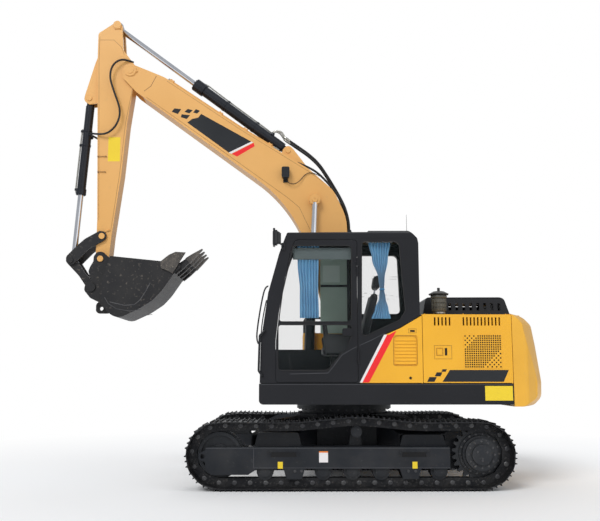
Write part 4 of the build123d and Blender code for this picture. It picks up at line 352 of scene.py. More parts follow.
MATERIALS = {name: make_material(name, row) for name, row in FINISHES.items()}
MATERIALS["cab_glass"] = make_glass()
MATERIALS["seat_fabric"] = make_weave("seat_fabric", (0.025, 0.026, 0.030), (0.040, 0.040, 0.044), 260, 0.3)
MATERIALS["curtain_blue"] = make_weave("curtain_blue", (0.10, 0.36, 0.62), (0.16, 0.46, 0.72), 420, 0.5)

for node, piece in frame["nodes"].items():
    piece.data.materials.clear()
    piece.data.materials.append(MATERIALS[SLOTS[node]])


# Outlines of x and z, in mm

def oblong(low_x, high_x, low_z, high_z):
    """The corners of a rectangle."""
    return [(low_x, low_z), (high_x, low_z), (high_x, high_z), (low_x, high_z)]


def frame_of(low_x, high_x, low_z, high_z, width):
    """Four bars that frame a rectangle."""
    return [
        oblong(low_x, high_x, low_z, low_z + width),
        oblong(low_x, high_x, high_z - width, high_z),
        oblong(low_x, low_x + width, low_z + width, high_z - width),
        oblong(high_x - width, high_x, low_z + width, high_z - width),
    ]


def ribbon(points, width):
    """A line of points, widened to both sides."""
    near, far = [], []
    for i, (x, z) in enumerate(points):
        before, after = points[max(i - 1, 0)], points[min(i + 1, len(points) - 1)]
        dx, dz = after[0] - before[0], after[1] - before[1]
        across = width / 2 / hypot(dx, dz)
        near.append((x - dz * across, z + dx * across))
        far.append((x + dz * across, z - dx * across))
    return near + far[::-1]


def rounded(rows, steps=5):
    """An outline with round corners, from rows of x, z and corner radius."""
    points = []
    for i, (x, z, radius) in enumerate(rows):
        here = Vector((x, z))
        before = (Vector(rows[i - 1][:2]) - here).normalized()
        after = (Vector(rows[(i + 1) % len(rows)][:2]) - here).normalized()
        angle = before.angle(after)
        if radius < 1 or angle > pi - 0.02:
            points.append(here)
            continue
        reach = radius / tan(angle / 2)
        start, end = here + before * reach, here + after * reach
        centre = here + (before + after).normalized() * radius / sin(angle / 2)
        for k in range(steps + 1):
            points.append(centre + (start.lerp(end, k / steps) - centre).normalized() * radius)
    return points


def ring_of(x, z, radius, count, y, first=0.0):
    """Places on a circle in a plane across Y."""
    turns = [first + 2 * pi * i / count for i in range(count)]
    return [(x + radius * cos(turn), y, z + radius * sin(turn)) for turn in turns]


def from_axis(foot, eye, distance, aside=0.0):
    """A point at a distance along a line from foot to eye, and aside from it."""
    dx, dz = eye[0] - foot[0], eye[1] - foot[1]
    span = hypot(dx, dz)
    x = foot[0] + dx / span * distance - dz / span * aside
    z = foot[1] + dz / span * distance + dx / span * aside
    return (x, z)


# Solids that are added to a bmesh, in mm

def bridge(shape, near, far):
    """Joins two rings of corners by faces."""
    for corners in zip(near, near[1:] + near[:1], far[1:] + far[:1], far):
        shape.faces.new(corners)


def solid_plate(shape, outline, side, y, depth):
    """Adds a plate that stands out from a face at y, on one side of it."""
    near, far = [[shape.verts.new((x * MM, level * MM, z * MM)) for x, z in outline]
                 for level in (y + side * depth, y)]
    shape.faces.new(near)
    shape.faces.new(far[::-1])
    bridge(shape, far, near)


def turned(shape, rows, centre, axis, sides=24, ring_only=False):
    """Adds a turned solid: rows of distance along its axis and radius. ring_only leaves its bore open."""
    turn = Vector(axis).to_track_quat("Z", "Y").to_matrix()
    rings = []
    for distance, radius in rows:
        angles = [2 * pi * (i + 0.5) / sides for i in range(sides)]
        offsets = [Vector((radius * cos(angle), radius * sin(angle), distance)) for angle in angles]
        rings.append([shape.verts.new((Vector(centre) + turn @ offset) * MM) for offset in offsets])
    for low, high in zip(rings, rings[1:]):
        bridge(shape, low, high)
    if ring_only:
        bridge(shape, rings[-1], rings[0])
    else:
        shape.faces.new(rings[0][::-1])
        shape.faces.new(rings[-1])


def slab(shape, low, high, bevel=2.0):
    """Adds a box with soft edges, from its low to its high corner."""
    low, high = Vector(low), Vector(high)
    verts = bmesh.ops.create_cube(shape, size=1.0)["verts"]
    for vert in verts:
        part = vert.co + Vector((0.5, 0.5, 0.5))
        vert.co = (low + part * (high - low)) * MM
    edges = list({edge for vert in verts for edge in vert.link_edges})
    bmesh.ops.bevel(shape, geom=edges, offset=bevel * MM, segments=2, affect="EDGES")


def raised(shape, low_x, high_x, low_z, high_z, side, y, depth, bevel=2.0):
    """Adds a box with soft edges that stands out from a face at y, on one side of it."""
    low_y, high_y = sorted((y, y + side * depth))
    slab(shape, (low_x, low_y, low_z), (high_x, high_y, high_z), bevel)


def bolt(shape, place, axis, size):
    """Adds a hexagon bolt head on its washer; size is its width across corners."""
    washer, edge, rim = size * 0.12, size * 0.46, size * 0.68
    turned(shape, [(0, rim), (washer, rim)], place, axis, 16)
    turned(shape, [(washer, size * 0.5), (edge, size * 0.5), (size * 0.55, size * 0.42)], place, axis, 6)


def settle(shape, before, x, z, turn):
    """Turns what was added since before about Y and moves it to x and z."""
    matrix = Matrix.Translation((x * MM, 0, z * MM)) @ Matrix.Rotation(-turn, 4, "Y")
    for vert in shape.verts:
        if vert not in before:
            vert.co = matrix @ vert.co


# Pieces

def new_piece(name, mesh, body, finish):
    """A mesh as a piece that rides on a body, or on none yet."""
    piece = bpy.data.objects.new(name, mesh)
    bpy.context.scene.collection.objects.link(piece)
    mesh.materials.append(MATERIALS[finish])
    if body:
        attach(piece, body)
    return piece


def mesh_from(shape, name, outward=True):
    """Turns a bmesh into a mesh and frees it. Outward turns its faces to the outside."""
    if outward:
        bmesh.ops.recalc_face_normals(shape, faces=shape.faces[:])
    mesh = bpy.data.meshes.new(name)
    shape.to_mesh(mesh)
    shape.free()
    return mesh


def plates(name, outlines, side, y, depth, body, finish):
    """Thin plates that share one face and one finish."""
    shape = bmesh.new()
    for outline in outlines:
        solid_plate(shape, outline, side, y, depth)
    return new_piece(name, mesh_from(shape, name), body, finish)


def solid(name, parts, body, finish, crease=35):
    """A piece of several solids: each part is a function that adds one, and its values."""
    shape = bmesh.new()
    for add, *values in parts:
        add(shape, *values)
    mesh = mesh_from(shape, name)
    mesh.shade_smooth()
    mesh.set_sharp_from_angle(angle=radians(crease))
    return new_piece(name, mesh, body, finish)


def bolts(name, places, axis, size, body, finish):
    """Bolt heads that share an axis, as one piece."""
    return solid(name, [(bolt, place, axis, size) for place in places], body, finish)


def line_mesh(name, points, radius=0.0):
    """The mesh of a smooth curve with these control points, in mm: a tube, or a bare line."""
    curve = bpy.data.curves.new(name, "CURVE")
    curve.dimensions = "3D"
    curve.resolution_u = 10
    spline = curve.splines.new("NURBS")
    spline.points.add(len(points) - 1)
    for target, (x, y, z) in zip(spline.points, points):
        target.co = (x * MM, y * MM, z * MM, 1)
    spline.order_u = 3
    spline.use_endpoint_u = True
    curve.bevel_depth = radius * MM
    curve.bevel_resolution = 3
    curve.use_fill_caps = radius > 0
    mesh = bpy.data.meshes.new_from_object(bpy.data.objects.new(name + "_line", curve))
    mesh.name = name
    return mesh


def tube(name, points, radius, body, finish):
    """A round tube along a smooth route."""
    mesh = line_mesh(name, points, radius)
    mesh.shade_smooth()
    return new_piece(name, mesh, body, finish)


def hose(name, points, radius, body=None, across=None, finish="hose_rubber"):
    """A hose on one body, or across the joint of two bodies."""
    piece = tube(name, points, radius, body, finish)
    if across:
        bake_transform(piece)
    path = [v.co.copy() for v in line_mesh(name + "_path", points).vertices]


# Undercarriage

TRACK_Y = 995.0
TUMBLER_X = 1450.0
TUMBLER_Z = 383.0
PITCH_RADIUS = 313.0
ARC_STEPS = 48
CHAIN_OUT = 70.0
SHOE_COUNT = 45
# The top run of the pins, from the idler to the sprocket: x, height over the tumblers' top.
TOP_RUN = ((-1450, 0), (-615, -9), (-15, 49), (165, 49), (765, -9), (1450, 0))
PIN_BOSS = ((-2, 27), (5, 27), (7, 24), (7, 15), (4, 14))
# Dark plates of painted shade in the gap between two links and in the window of a link, as steps ahead and up
# from the link's middle.
LINK_GAP = ((-18, -42), (-8, -12), (12, 6), (18, 30))
LINK_WINDOW = ((-60, 10), (-36, 10), (-32, 32), (-64, 32))
SHOE_BOLTS_AHEAD = (-28, 28)
SHOE_BOLTS_ACROSS = (-65.25, -13.5, 13.5, 65.25)
SHOE_TOP = 49
# The thickness of a dark plate or painted line that lies on a face.
SKIN = 0.8


def pin_places():
    """The pins of one track as x and z, in order."""
    line = [Vector((x, TUMBLER_Z + PITCH_RADIUS + rise)) for x, rise in TOP_RUN]
    for x, first_turn, first_step in ((TUMBLER_X, pi / 2, 1), (-TUMBLER_X, -pi / 2, 0)):
        for i in range(first_step, ARC_STEPS + 1):
            turn = first_turn - pi * i / ARC_STEPS
            line.append(Vector((x + PITCH_RADIUS * cos(turn), TUMBLER_Z + PITCH_RADIUS * sin(turn))))
    total = sum((b - a).length for a, b in zip(line, line[1:]))
    pitch = total / SHOE_COUNT
    wanted = (TOP_RUN[2][0] + TOP_RUN[3][0]) / 2 + TUMBLER_X - pitch / 2
    places = []
    for i in range(SHOE_COUNT):
        left = (wanted + pitch * i) % total
        for a, b in zip(line, line[1:]):
            run = (b - a).length
            if left <= run:
                places.append(a + (b - a).normalized() * left)
                break
            left -= run
    return places


def add_track_links():
    """Pin bosses, dark plates of painted shade in the link gaps and windows on both sides of the chains, and
    the shoes' bolts.
    """
    places = pin_places()
    links = []
    for spot, after in zip(places, places[1:] + places[:1]):
        ahead = (after - spot).normalized()
        links.append(((spot + after) / 2, ahead, Vector((-ahead.y, ahead.x))))
    for side, word in SIDES:
        bosses, gaps, shoe_bolts = [], [], []
        for out in (-1, 1):
            y = side * TRACK_Y + out * CHAIN_OUT
            bosses += [(turned, PIN_BOSS, (spot.x, y, spot.y), (0, out, 0), 14) for spot in places]
            for centre, ahead, up in links:
                # Dark plates of painted shade in the gap between the links and in the link's window.
                gap, window = [[centre + ahead * a + up * b for a, b in steps]
                               for steps in (LINK_GAP, LINK_WINDOW)]
                gaps += [(solid_plate, ribbon(gap, 5), out, y, SKIN), (solid_plate, window, out, y, SKIN)]
        for centre, ahead, up in links:
            for step in SHOE_BOLTS_AHEAD:
                spot = centre + ahead * step + up * SHOE_TOP
                for across in SHOE_BOLTS_ACROSS:
                    shoe_bolts.append((bolt, (spot.x, side * TRACK_Y + across, spot.y), (up.x, 0, up.y), 22))
        solid("link_bosses_" + word, bosses, "chassis", "worn_steel")
        solid("link_gaps_" + word, gaps, "chassis", "shadow_black")
        solid("shoe_bolts_" + word, shoe_bolts, "chassis", "worn_steel")


FRAME_FACE = 1130.0
DRIVE_FACE = 1155.0
DRIVE_CAP = 1190.0
SPROCKET_FACE = 1043.6
# Slotted step brackets on the frame's side: x from and to, z from and to.
FRAME_SLOTS = ((-898, -576, 342, 421), (552, 862, 342, 421))
BRACKET_OUT = 7
# Rings of bolts: radius, count.
DRIVE_BOLTS = (145, 12)
CAP_BOLTS = (62, 3)
SPROCKET_BOLTS = (214, 18)
RING_BOLTS = (556, 36)
RING_BOLTS_Z = 850
GUARD_BOLTS_X = (-612, -540, 640, 720)
GUARD_BOLTS_Z = 205
# Lighter grey lines of painted highlight along the frame's edges: their ends as x and z.
FRAME_EDGES = (((-1604, 452), (1105, 452)), ((-1060, 240), (1105, 240)), ((-1069, 236), (-1069, 462)))


def add_frame_details():
    """Step brackets with painted shade in their recesses, lighter lines of painted highlight along the frame
    edges, and cover bolts of the track frames.
    """
    for side, word in SIDES:
        y = side * FRAME_FACE
        out = (0, side, 0)
        # Dark plates of painted shade inside the step brackets' recesses.
        dark = [[(a + 18, c + 14), (b - 18, c + 14), (b - 26, d - 12), (a + 26, d - 12)]
                for a, b, c, d in FRAME_SLOTS]
        plates("step_recess_" + word, dark, side, y, SKIN, "chassis", "shadow_black")
        brackets = []
        for low_x, high_x, low_z, high_z in FRAME_SLOTS:
            for x in (low_x, high_x):
                brackets.append((raised, x - 16, x + 16, low_z + 20, high_z, side, y, BRACKET_OUT, 2.5))
                brackets.append((bolt, (x, y + side * BRACKET_OUT, high_z - 22), out, 22))
            brackets.append((raised, low_x + 16, high_x - 16, high_z - 10, high_z, side, y, 5))
        solid("step_brackets_" + word, brackets, "chassis", "frame_black")
        # Painted highlight along the frame's edges, as lighter grey lines.
        lines = [ribbon(line, 4) for line in FRAME_EDGES]
        plates("frame_edges_" + word, lines, side, y, 0.7, "chassis", "edge_grey")
        drive = ring_of(TUMBLER_X, TUMBLER_Z, *DRIVE_BOLTS, side * DRIVE_FACE)
        drive += ring_of(TUMBLER_X, TUMBLER_Z, *CAP_BOLTS, side * DRIVE_CAP, 0.5)
        bolts("drive_bolts_" + word, drive, out, 20, "chassis", "worn_steel")
        flange = ring_of(TUMBLER_X, TUMBLER_Z, *SPROCKET_BOLTS, side * SPROCKET_FACE)
        bolts("sprocket_bolts_" + word, flange, out, 20, "chassis", "worn_steel")
        guards = [(x, y, GUARD_BOLTS_Z) for x in GUARD_BOLTS_X]
        bolts("guard_bolts_" + word, guards, out, 24, "chassis", "worn_steel")


def add_ring_bolts():
    """The bolts under the slewing ring's upper flange."""
    places = [(x, y, RING_BOLTS_Z) for x, _, y in ring_of(0, 0, *RING_BOLTS, 0)]
    bolts("ring_bolts", places, (0, 0, -1), 24, "house", "worn_steel")


# House

HOUSE_FACE = 1245.0
DOOR_FACE = -HOUSE_FACE
DECK_TOP = 1930
TAIL_TOP = 1942
# The grille: x from and to, z from and to, its cells along x and z.
GRILLE = (1272.0, 1686.0, 1332.0, 1698.0)
GRILLE_CELLS = (17, 15)
HALF_BAR = 4.2
BAR_DEPTH = 3.5
# Diagonals of cells that are chequered, from the upper front and the lower rear corner.
CHEQUERED = (6, 9)
SKIRT_BOLTS = (-930, -420, 96, 606, 1116, 1622)
SKIRT_BOLTS_Z = 950
# Rows of bolts on the decks: y, x, size.
DECK_BOLTS = (((-1160, -880, 880, 1160), (850, 1290, 1770), 18), ((-689.3, 689.3), (1050, 1500, 1900), 16))
LOUVRE_FRAME = ((482, 1358, 20), (748, 1358, 20), (748, 1690, 60), (520, 1690, 60), (482, 1650, 20))


def add_grille():
    """The pressed grille of the rear door: yellow bars over a dark plate of painted shade in its openings,
    chequered in two corners.
    """
    low_x, high_x, low_z, high_z = GRILLE
    columns, rows = GRILLE_CELLS
    step_x, step_z = (high_x - low_x) / columns, (high_z - low_z) / rows
    # The dark plate is painted shade in the grille's openings.
    plates("grille_ground", [oblong(*GRILLE)], -1, DOOR_FACE, SKIN, "left_rear_door", "shadow_black")
    cells = []
    for i in range(columns + 1):
        x = low_x + step_x * i
        cells.append(oblong(x - HALF_BAR, x + HALF_BAR, low_z - HALF_BAR, high_z + HALF_BAR))
    for i in range(columns):
        x = low_x + step_x * i
        inner = (x + HALF_BAR, x + step_x - HALF_BAR)
        for j in range(rows + 1):
            z = low_z + step_z * j
            cells.append(oblong(*inner, z - HALF_BAR, z + HALF_BAR))
            corner = i + (rows - 1 - j) < CHEQUERED[0] or (columns - 1 - i) + j < CHEQUERED[1]
            if j < rows and corner and (i + j) % 2:
                cells.append(oblong(*inner, z + HALF_BAR, z + step_z - HALF_BAR))
    bars = [(solid_plate, outline, -1, DOOR_FACE, BAR_DEPTH) for outline in cells]
    solid("grille_bars", bars, "left_rear_door", "body_yellow")


def add_latches():
    """The rear door's latch and grille, the front door's grip, lock and louvre frame, and the skirts; the
    dark outlines, slot and recess are painted shade.
    """
    # Dark outlines of painted shade round the latch and its paddle, and a dark slot of painted shade.
    rear = frame_of(937, 1133, 1430, 1582, 4) + frame_of(959, 1035, 1467, 1553, 4)
    plates("latch_frame", rear, -1, DOOR_FACE, 2.0, "left_rear_door", "shade_yellow")
    plates("latch_slot", [oblong(1054, 1081, 1470, 1552)], -1, DOOR_FACE, SKIN, "left_rear_door",
           "shadow_black")
    add_grille()
    paddle = (raised, 966, 1028, 1474, 1546, -1, DOOR_FACE, 6, 3)
    solid("latch_paddle", [paddle], "left_rear_door", "body_yellow")
    # Painted shade in the grip's recess, and a dark outline of painted shade round the grip.
    plates("grip_recess", [oblong(672, 724, 1730, 1752)], -1, DOOR_FACE, SKIN, "left_front_door",
           "shadow_black")
    plates("grip_frame", frame_of(652, 742, 1718, 1768, 4), -1, DOOR_FACE, 2.0, "left_front_door",
           "shade_yellow")
    lock = (turned, [(0, 15), (4, 15), (6, 12), (6, 5), (3, 5)], (667, DOOR_FACE, 1222), (0, -1, 0), 20)
    solid("door_lock", [lock], "left_front_door", "shadow_black")
    # A dark outline of painted shade round the louvre.
    edge = rounded(LOUVRE_FRAME)
    lines = [ribbon([a, b], 4) for a, b in zip(edge, edge[1:] + edge[:1])]
    plates("louvre_frame", lines, -1, DOOR_FACE, 1.5, "left_front_door", "shade_yellow")
    right = []
    for x in (960, 1640):
        right.append((raised, x - 45, x + 45, 1490, 1550, 1, HOUSE_FACE, 4, 1.5))
        right.append((turned, [(0, 13), (3, 13), (4, 10)], (x, HOUSE_FACE + 4, 1520), (0, 1, 0), 18))
    solid("right_door_latches", right, "right_rear_door", "shadow_black")
    for side, word in SIDES:
        skirt = [(x, side * HOUSE_FACE, SKIRT_BOLTS_Z) for x in SKIRT_BOLTS]
        bolts("skirt_bolts_" + word, skirt, (0, side, 0), 20, "house", "frame_black")
    # A dark line of painted shade in the skirt's seam.
    plates("skirt_seam", [ribbon([(-990, 1150), (1795, 1150)], 4)], -1, DOOR_FACE, 0.6, "house", "edge_grey")


def add_tail_details():
    """The counterweight's lifting plugs and the bolts of the decks."""
    plug = [(0, 62), (7, 62), (10, 56), (10, 26), (4, 22)]
    plugs = [(turned, plug, (1985, y, TAIL_TOP), (0, 0, 1), 28) for y in (-720, 720)]
    solid("lifting_plugs", plugs, "house", "counterweight_iron")
    deck = []
    for row_y, row_x, size in DECK_BOLTS:
        deck += [(bolt, (x, y, DECK_TOP), (0, 0, 1), size) for y in row_y for x in row_x]
    solid("deck_bolts", deck, "house", "body_yellow")


CLEANER_X, CLEANER_Y = 1063, -900
# The pre-cleaner's bowl: height over the deck, radius.
CLEANER_BOWL = (
    (52, 71), (60, 78), (92, 80), (96, 72), (104, 72), (108, 80), (142, 83), (146, 74), (154, 74), (158, 84),
    (196, 88), (202, 80), (214, 92), (232, 96), (240, 90))


def add_air_cleaner_details():
    """The ribbed bowl and clamp ring of the pre-cleaner, and the exhaust's bands."""
    deck, up = (CLEANER_X, CLEANER_Y, DECK_TOP), (0, 0, 1)
    bowl = (turned, CLEANER_BOWL, deck, up, 32)
    solid("cleaner_bowl", [bowl], "house", "filter_bowl", 50)
    turns = [2 * pi * i / 16 for i in range(16)]
    feet = [(CLEANER_X + 83 * cos(turn), CLEANER_Y + 83 * sin(turn), DECK_TOP + 60) for turn in turns]
    ribs = [(turned, [(0, 4), (140, 6)], foot, up, 6) for foot in feet]
    solid("cleaner_ribs", ribs, "house", "filter_bowl")
    clamp = [
        (turned, [(28, 66), (30, 75), (46, 75), (48, 66)], deck, up, 32),
        (bolt, (CLEANER_X, CLEANER_Y - 74, DECK_TOP + 38), (0, -1, 0), 16),
    ]
    solid("cleaner_clamp", clamp, "house", "fitting_zinc")
    exhaust = (1500, 900, DECK_TOP)
    bands = [
        (turned, [(30, 46), (32, 52), (50, 52), (52, 46)], exhaust, up, 32),
        (turned, [(196, 46), (198, 50), (212, 50), (214, 46)], exhaust, up, 32),
    ]
    solid("exhaust_bands", bands, "house", "fitting_zinc")


def add_hood_details():
    """Pressed ribs on the engine hood."""
    ribs = [(slab, (1090, y - 90, 2184), (1800, y + 90, 2192), 4) for y in (-330, 0, 330)]
    solid("hood_ribs", ribs, "engine_hood", "frame_black")


# Cab

SEAL_WIDTH = 11
SEAL_DEPTH = 5
# Window outlines: x, z, corner radius.
DOOR_UPPER = ((-630, 2704, 40), (24, 2704, 40), (16, 1845, 30), (-794, 1845, 30), (-752, 2172, 0))
DOOR_LOWER = (
    (-800, 1808, 30), (20, 1808, 30), (18, 1683, 60), (-34, 1562, 60), (-252, 1307, 60), (-800, 1307, 40))
QUARTER = ((142, 2753, 40), (561, 2753, 60), (623, 1967, 50), (560, 1868, 50), (129, 1668, 40))
RIGHT_FRONT = ((-640, 2730, 50), (70, 2730, 50), (70, 1560, 50), (-905, 1560, 60), (-840, 2172, 0))
RIGHT_REAR = ((130, 2730, 50), (660, 2730, 60), (690, 2000, 50), (130, 2000, 50))
CAB_RIGHT = -300
SCREEN_FACE = -356
# Pressed lines, drawn as lighter lines of painted highlight along the creases and a dark line of painted
# shade in the roof seam: name, points, width, depth, body, finish.
CAB_LINES = (
    ("door_crease", ((-668, 1266), (-247, 1276), (-190, 1345), (-91, 1475), (20, 1540), (80, 1568)), 5, 1.2,
     "cab_door", "edge_grey"),
    ("side_crease", ((104, 1580), (240, 1640), (391, 1716)), 5, 1.2, "house", "edge_grey"),
    ("roof_seam", ((-690, 2792), (770, 2792)), 3, 0.7, "house", "shadow_black"),
)
# Tubes: name, radius, finish, points.
CAB_TUBES = (
    ("front_grab_bar", 9, "cab_plastic",
     ((-1022, -1180, 1600), (-1046, -1180, 1640), (-1034, -1180, 1800), (-990, -1180, 2080),
      (-950, -1180, 2250), (-915, -1180, 2250))),
    ("wiper_arm", 7, "rubber_black",
     ((-1016, -640, 1660), (-1018, -660, 1760), (-982, -720, 2000), (-950, -760, 2130))),
    ("wiper_blade", 6, "rubber_black",
     ((-968, -790, 1880), (-942, -780, 2070), (-905, -770, 2270), (-880, -764, 2370))),
)


def seal(shape, rows, y, side):
    """Adds a rubber seal around a window outline, on a face at y."""
    outline = rounded(rows)
    area = sum(a.x * b.y - b.x * a.y for a, b in zip(outline, outline[1:] + outline[:1]))
    out = 1 if area > 0 else -1
    profile = ((0, 0), (0, SEAL_DEPTH), (SEAL_WIDTH * 0.5, SEAL_DEPTH + 1.5), (SEAL_WIDTH, SEAL_DEPTH),
               (SEAL_WIDTH, 0))
    rings = []
    for offset, rise in profile:
        ring = []
        for i, point in enumerate(outline):
            ahead = (outline[(i + 1) % len(outline)] - outline[i - 1]).normalized()
            spot = point + Vector((ahead.y, -ahead.x)) * out * (offset - SEAL_WIDTH * 0.35)
            ring.append(shape.verts.new((spot.x * MM, (y + side * rise) * MM, spot.y * MM)))
        rings.append(ring)
    for near, far in zip(rings, rings[1:] + rings[:1]):
        bridge(shape, near, far)


def add_cab_details():
    """Window seals, pressed lines of painted highlight and shade, the sun screen and visor, mirror, hinges,
    antenna, grab bar and wiper.
    """
    seals = [(seal, DOOR_UPPER, DOOR_FACE, -1), (seal, DOOR_LOWER, DOOR_FACE, -1)]
    solid("door_seals", seals, "cab_door", "rubber_black")
    seals = [(seal, QUARTER, DOOR_FACE, -1)]
    seals += [(seal, rows, CAB_RIGHT, 1) for rows in (RIGHT_FRONT, RIGHT_REAR)]
    solid("side_seals", seals, "house", "rubber_black")
    for name, points, width, depth, body, finish in CAB_LINES:
        plates(name, [ribbon(points, width)], -1, DOOR_FACE, depth, body, finish)
    screen = (slab, (-300, SCREEN_FACE, 1760), (64, SCREEN_FACE + 8, 2690))
    solid("side_screen", [screen], "house", "screen_green")
    bars = [(slab, (-296, -362, 2330), (60, -354, 2360)), (slab, (30, -366, 1765), (62, -354, 2685), 3)]
    solid("screen_bars", bars, "house", "cab_plastic")
    plates("screen_window", [oblong(-270, -60, 2390, 2600)], -1, SCREEN_FACE, SKIN, "house", "screen_pale")
    solid("sun_visor", [(slab, (-640, -1198, 2552), (30, -1192, 2688))], "house", "visor_grey")
    heads = [
        (slab, (-866, -1338, 2700), (-800, -1262, 2872), 14),
        (slab, (-812, -1330, 2716), (-772, -1270, 2850), 12),
    ]
    solid("mirror_heads", heads, "house", "cab_plastic")
    hinges = []
    for z in (1420, 2350):
        hinges.append((turned, [(0, 11), (110, 11)], (92, DOOR_FACE - 8, z), (0, 0, 1), 14))
        hinges.append((raised, 70, 116, z + 10, z + 100, -1, DOOR_FACE, 6))
    solid("door_hinges", hinges, "house", "cab_black")
    rows = [(0, 22), (14, 20), (20, 8), (40, 5), (44, 2.5), (250, 1.6)]
    rod = (turned, rows, (704, -900, 2884), (0, 0, 1), 12)
    solid("antenna", [rod], "house", "rubber_black")
    for name, radius, finish, points in CAB_TUBES:
        tube(name, points, radius, "house", finish)
    motor = [
        (slab, (-1012, -700, 1600), (-990, -580, 1668), 4),
        (turned, [(0, 22), (12, 20)], (-1010, -640, 1660), (-1, 0, 0), 20),
    ]
    solid("wiper_motor", motor, "house", "cab_plastic")


# Soft pieces

CLOTH = {
    "quality": 5, "mass": 0.3, "tension_stiffness": 25, "compression_stiffness": 25, "bending_stiffness": 0.6,
    "use_pressure": True, "uniform_pressure_force": 4.0,
}
CLOTH_FRAMES = 20
PAD_VOXEL = 7.0
PAD_EDGE = 22.0
# The most that a pad swells, and the depth and width of its sewn channels.
PAD_SWELL = 9.0
CHANNEL_DEPTH = 5.0
CHANNEL_WIDTH = 5.0
# Pads: name, side outline of x, z and radius, y from and to, channels along y.
SEAT_PADS = (
    ("seat_pan", ((-306, 1482, 30), (176, 1480, 30), (172, 1576, 40), (-306, 1594, 48)), -1000, -546,
     (-880, -666)),
    ("seat_back", ((122, 1604, 20), (206, 1602, 26), (350, 2196, 44), (284, 2202, 44)), -998, -548,
     (-880, -666)),
    ("head_rest", ((300, 2256, 22), (370, 2248, 22), (390, 2418, 32), (328, 2420, 32)), -900, -646, ()),
)


def baked(piece):
    """The mesh of a piece as its modifiers leave it, in place of them."""
    graph = bpy.context.evaluated_depsgraph_get()
    mesh = bpy.data.meshes.new_from_object(piece.evaluated_get(graph))
    piece.modifiers.clear()
    piece.data = mesh
    return mesh


def settled(piece):
    """Swells and settles a closed pad by a cloth simulation, and keeps the resulting shape."""
    remesh = piece.modifiers.new("remesh", "REMESH")
    remesh.mode = "VOXEL"
    remesh.voxel_size = PAD_VOXEL * MM
    start = [vert.co.copy() for vert in baked(piece).vertices]
    cloth = piece.modifiers.new("cloth", "CLOTH")
    for name, value in CLOTH.items():
        setattr(cloth.settings, name, value)
    cloth.settings.effector_weights.gravity = 0.0
    cloth.point_cache.frame_start = 1
    cloth.point_cache.frame_end = CLOTH_FRAMES
    for number in range(1, CLOTH_FRAMES + 1):
        bpy.context.scene.frame_set(number)
    for vert, before in zip(baked(piece).vertices, start):
        move = vert.co - before
        if move.length > PAD_SWELL * MM:
            vert.co = before + move.normalized() * PAD_SWELL * MM
    bpy.context.scene.frame_set(1)


def groove(piece, channels):
    """Presses sewn channels into a pad: channels are places along y, in mm."""
    normals = [vert.normal.copy() for vert in piece.data.vertices]
    for vert, normal in zip(piece.data.vertices, normals):
        for place in channels:
            off = (vert.co.y / MM - place) / CHANNEL_WIDTH
            if abs(off) < 3:
                vert.co -= normal * CHANNEL_DEPTH * MM * exp(-off * off)


def add_seat():
    """The seat's pads, swollen by their stuffing, with sewn channels, and the headrest's posts."""
    for name, rows, low, high, channels in SEAT_PADS:
        shape = bmesh.new()
        solid_plate(shape, rounded(rows, 6), 1, low, high - low)
        rim = [edge for edge in shape.edges if abs(edge.verts[0].co.y - edge.verts[1].co.y) < 1e-6]
        bmesh.ops.bevel(shape, geom=rim, offset=PAD_EDGE * MM, segments=4, affect="EDGES")
        piece = new_piece(name, mesh_from(shape, name), None, "seat_fabric")
        settled(piece)
        groove(piece, channels)
        piece.data.shade_smooth()
        piece.data.materials.clear()
        piece.data.materials.append(MATERIALS["seat_fabric"])
        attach(piece, "house")
        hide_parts("seat_cushions")
    for y in (-820, -726):
        points = [(316, y, 2180), (322, y, 2215), (334, y, 2262)]
        tube("rest_post_%d" % -y, points, 7, "house", "rod_chrome")


# Curtains: name, cloth width, rows of z, x from and x to.
CURTAINS = (
    ("door_curtain", 520.0, ((2786, -592, -338), (2500, -586, -342), (2200, -560, -352), (1890, -556, -346))),
    ("quarter_curtain", 470.0, ((2752, 226, 474), (2560, 262, 446), (2330, 332, 404), (2215, 348, 396),
                                (2120, 338, 410), (1990, 290, 440), (1884, 252, 462))),
)
CURTAIN_Y = -1177.0
PLEATS = 7
CURTAIN_ACROSS, CURTAIN_DOWN = 168, 60
DEEPEST_PLEAT = 40.0


def row_at(rows, z):
    """The x from and to of a curtain at a height, eased between its rows."""
    for upper, lower in zip(rows, rows[1:]):
        if lower[0] <= z <= upper[0]:
            part = (upper[0] - z) / (upper[0] - lower[0])
            part = part * part * (3 - 2 * part)
            return [above + (below - above) * part for above, below in zip(upper[1:], lower[1:])]
    return rows[-1][1:]


def pleat_depth(width, cloth):
    """How deep sine pleats have to be for a cloth width to fit a shown width."""
    low, high = 0.0, DEEPEST_PLEAT
    steps = 240
    for _ in range(24):
        depth = (low + high) / 2
        slopes = [depth * 2 * pi * PLEATS * cos(2 * pi * PLEATS * (i + 0.5) / steps) for i in range(steps)]
        length = sum(hypot(width, slope) for slope in slopes) / steps
        low, high = (depth, high) if length < cloth else (low, depth)
    return (low + high) / 2


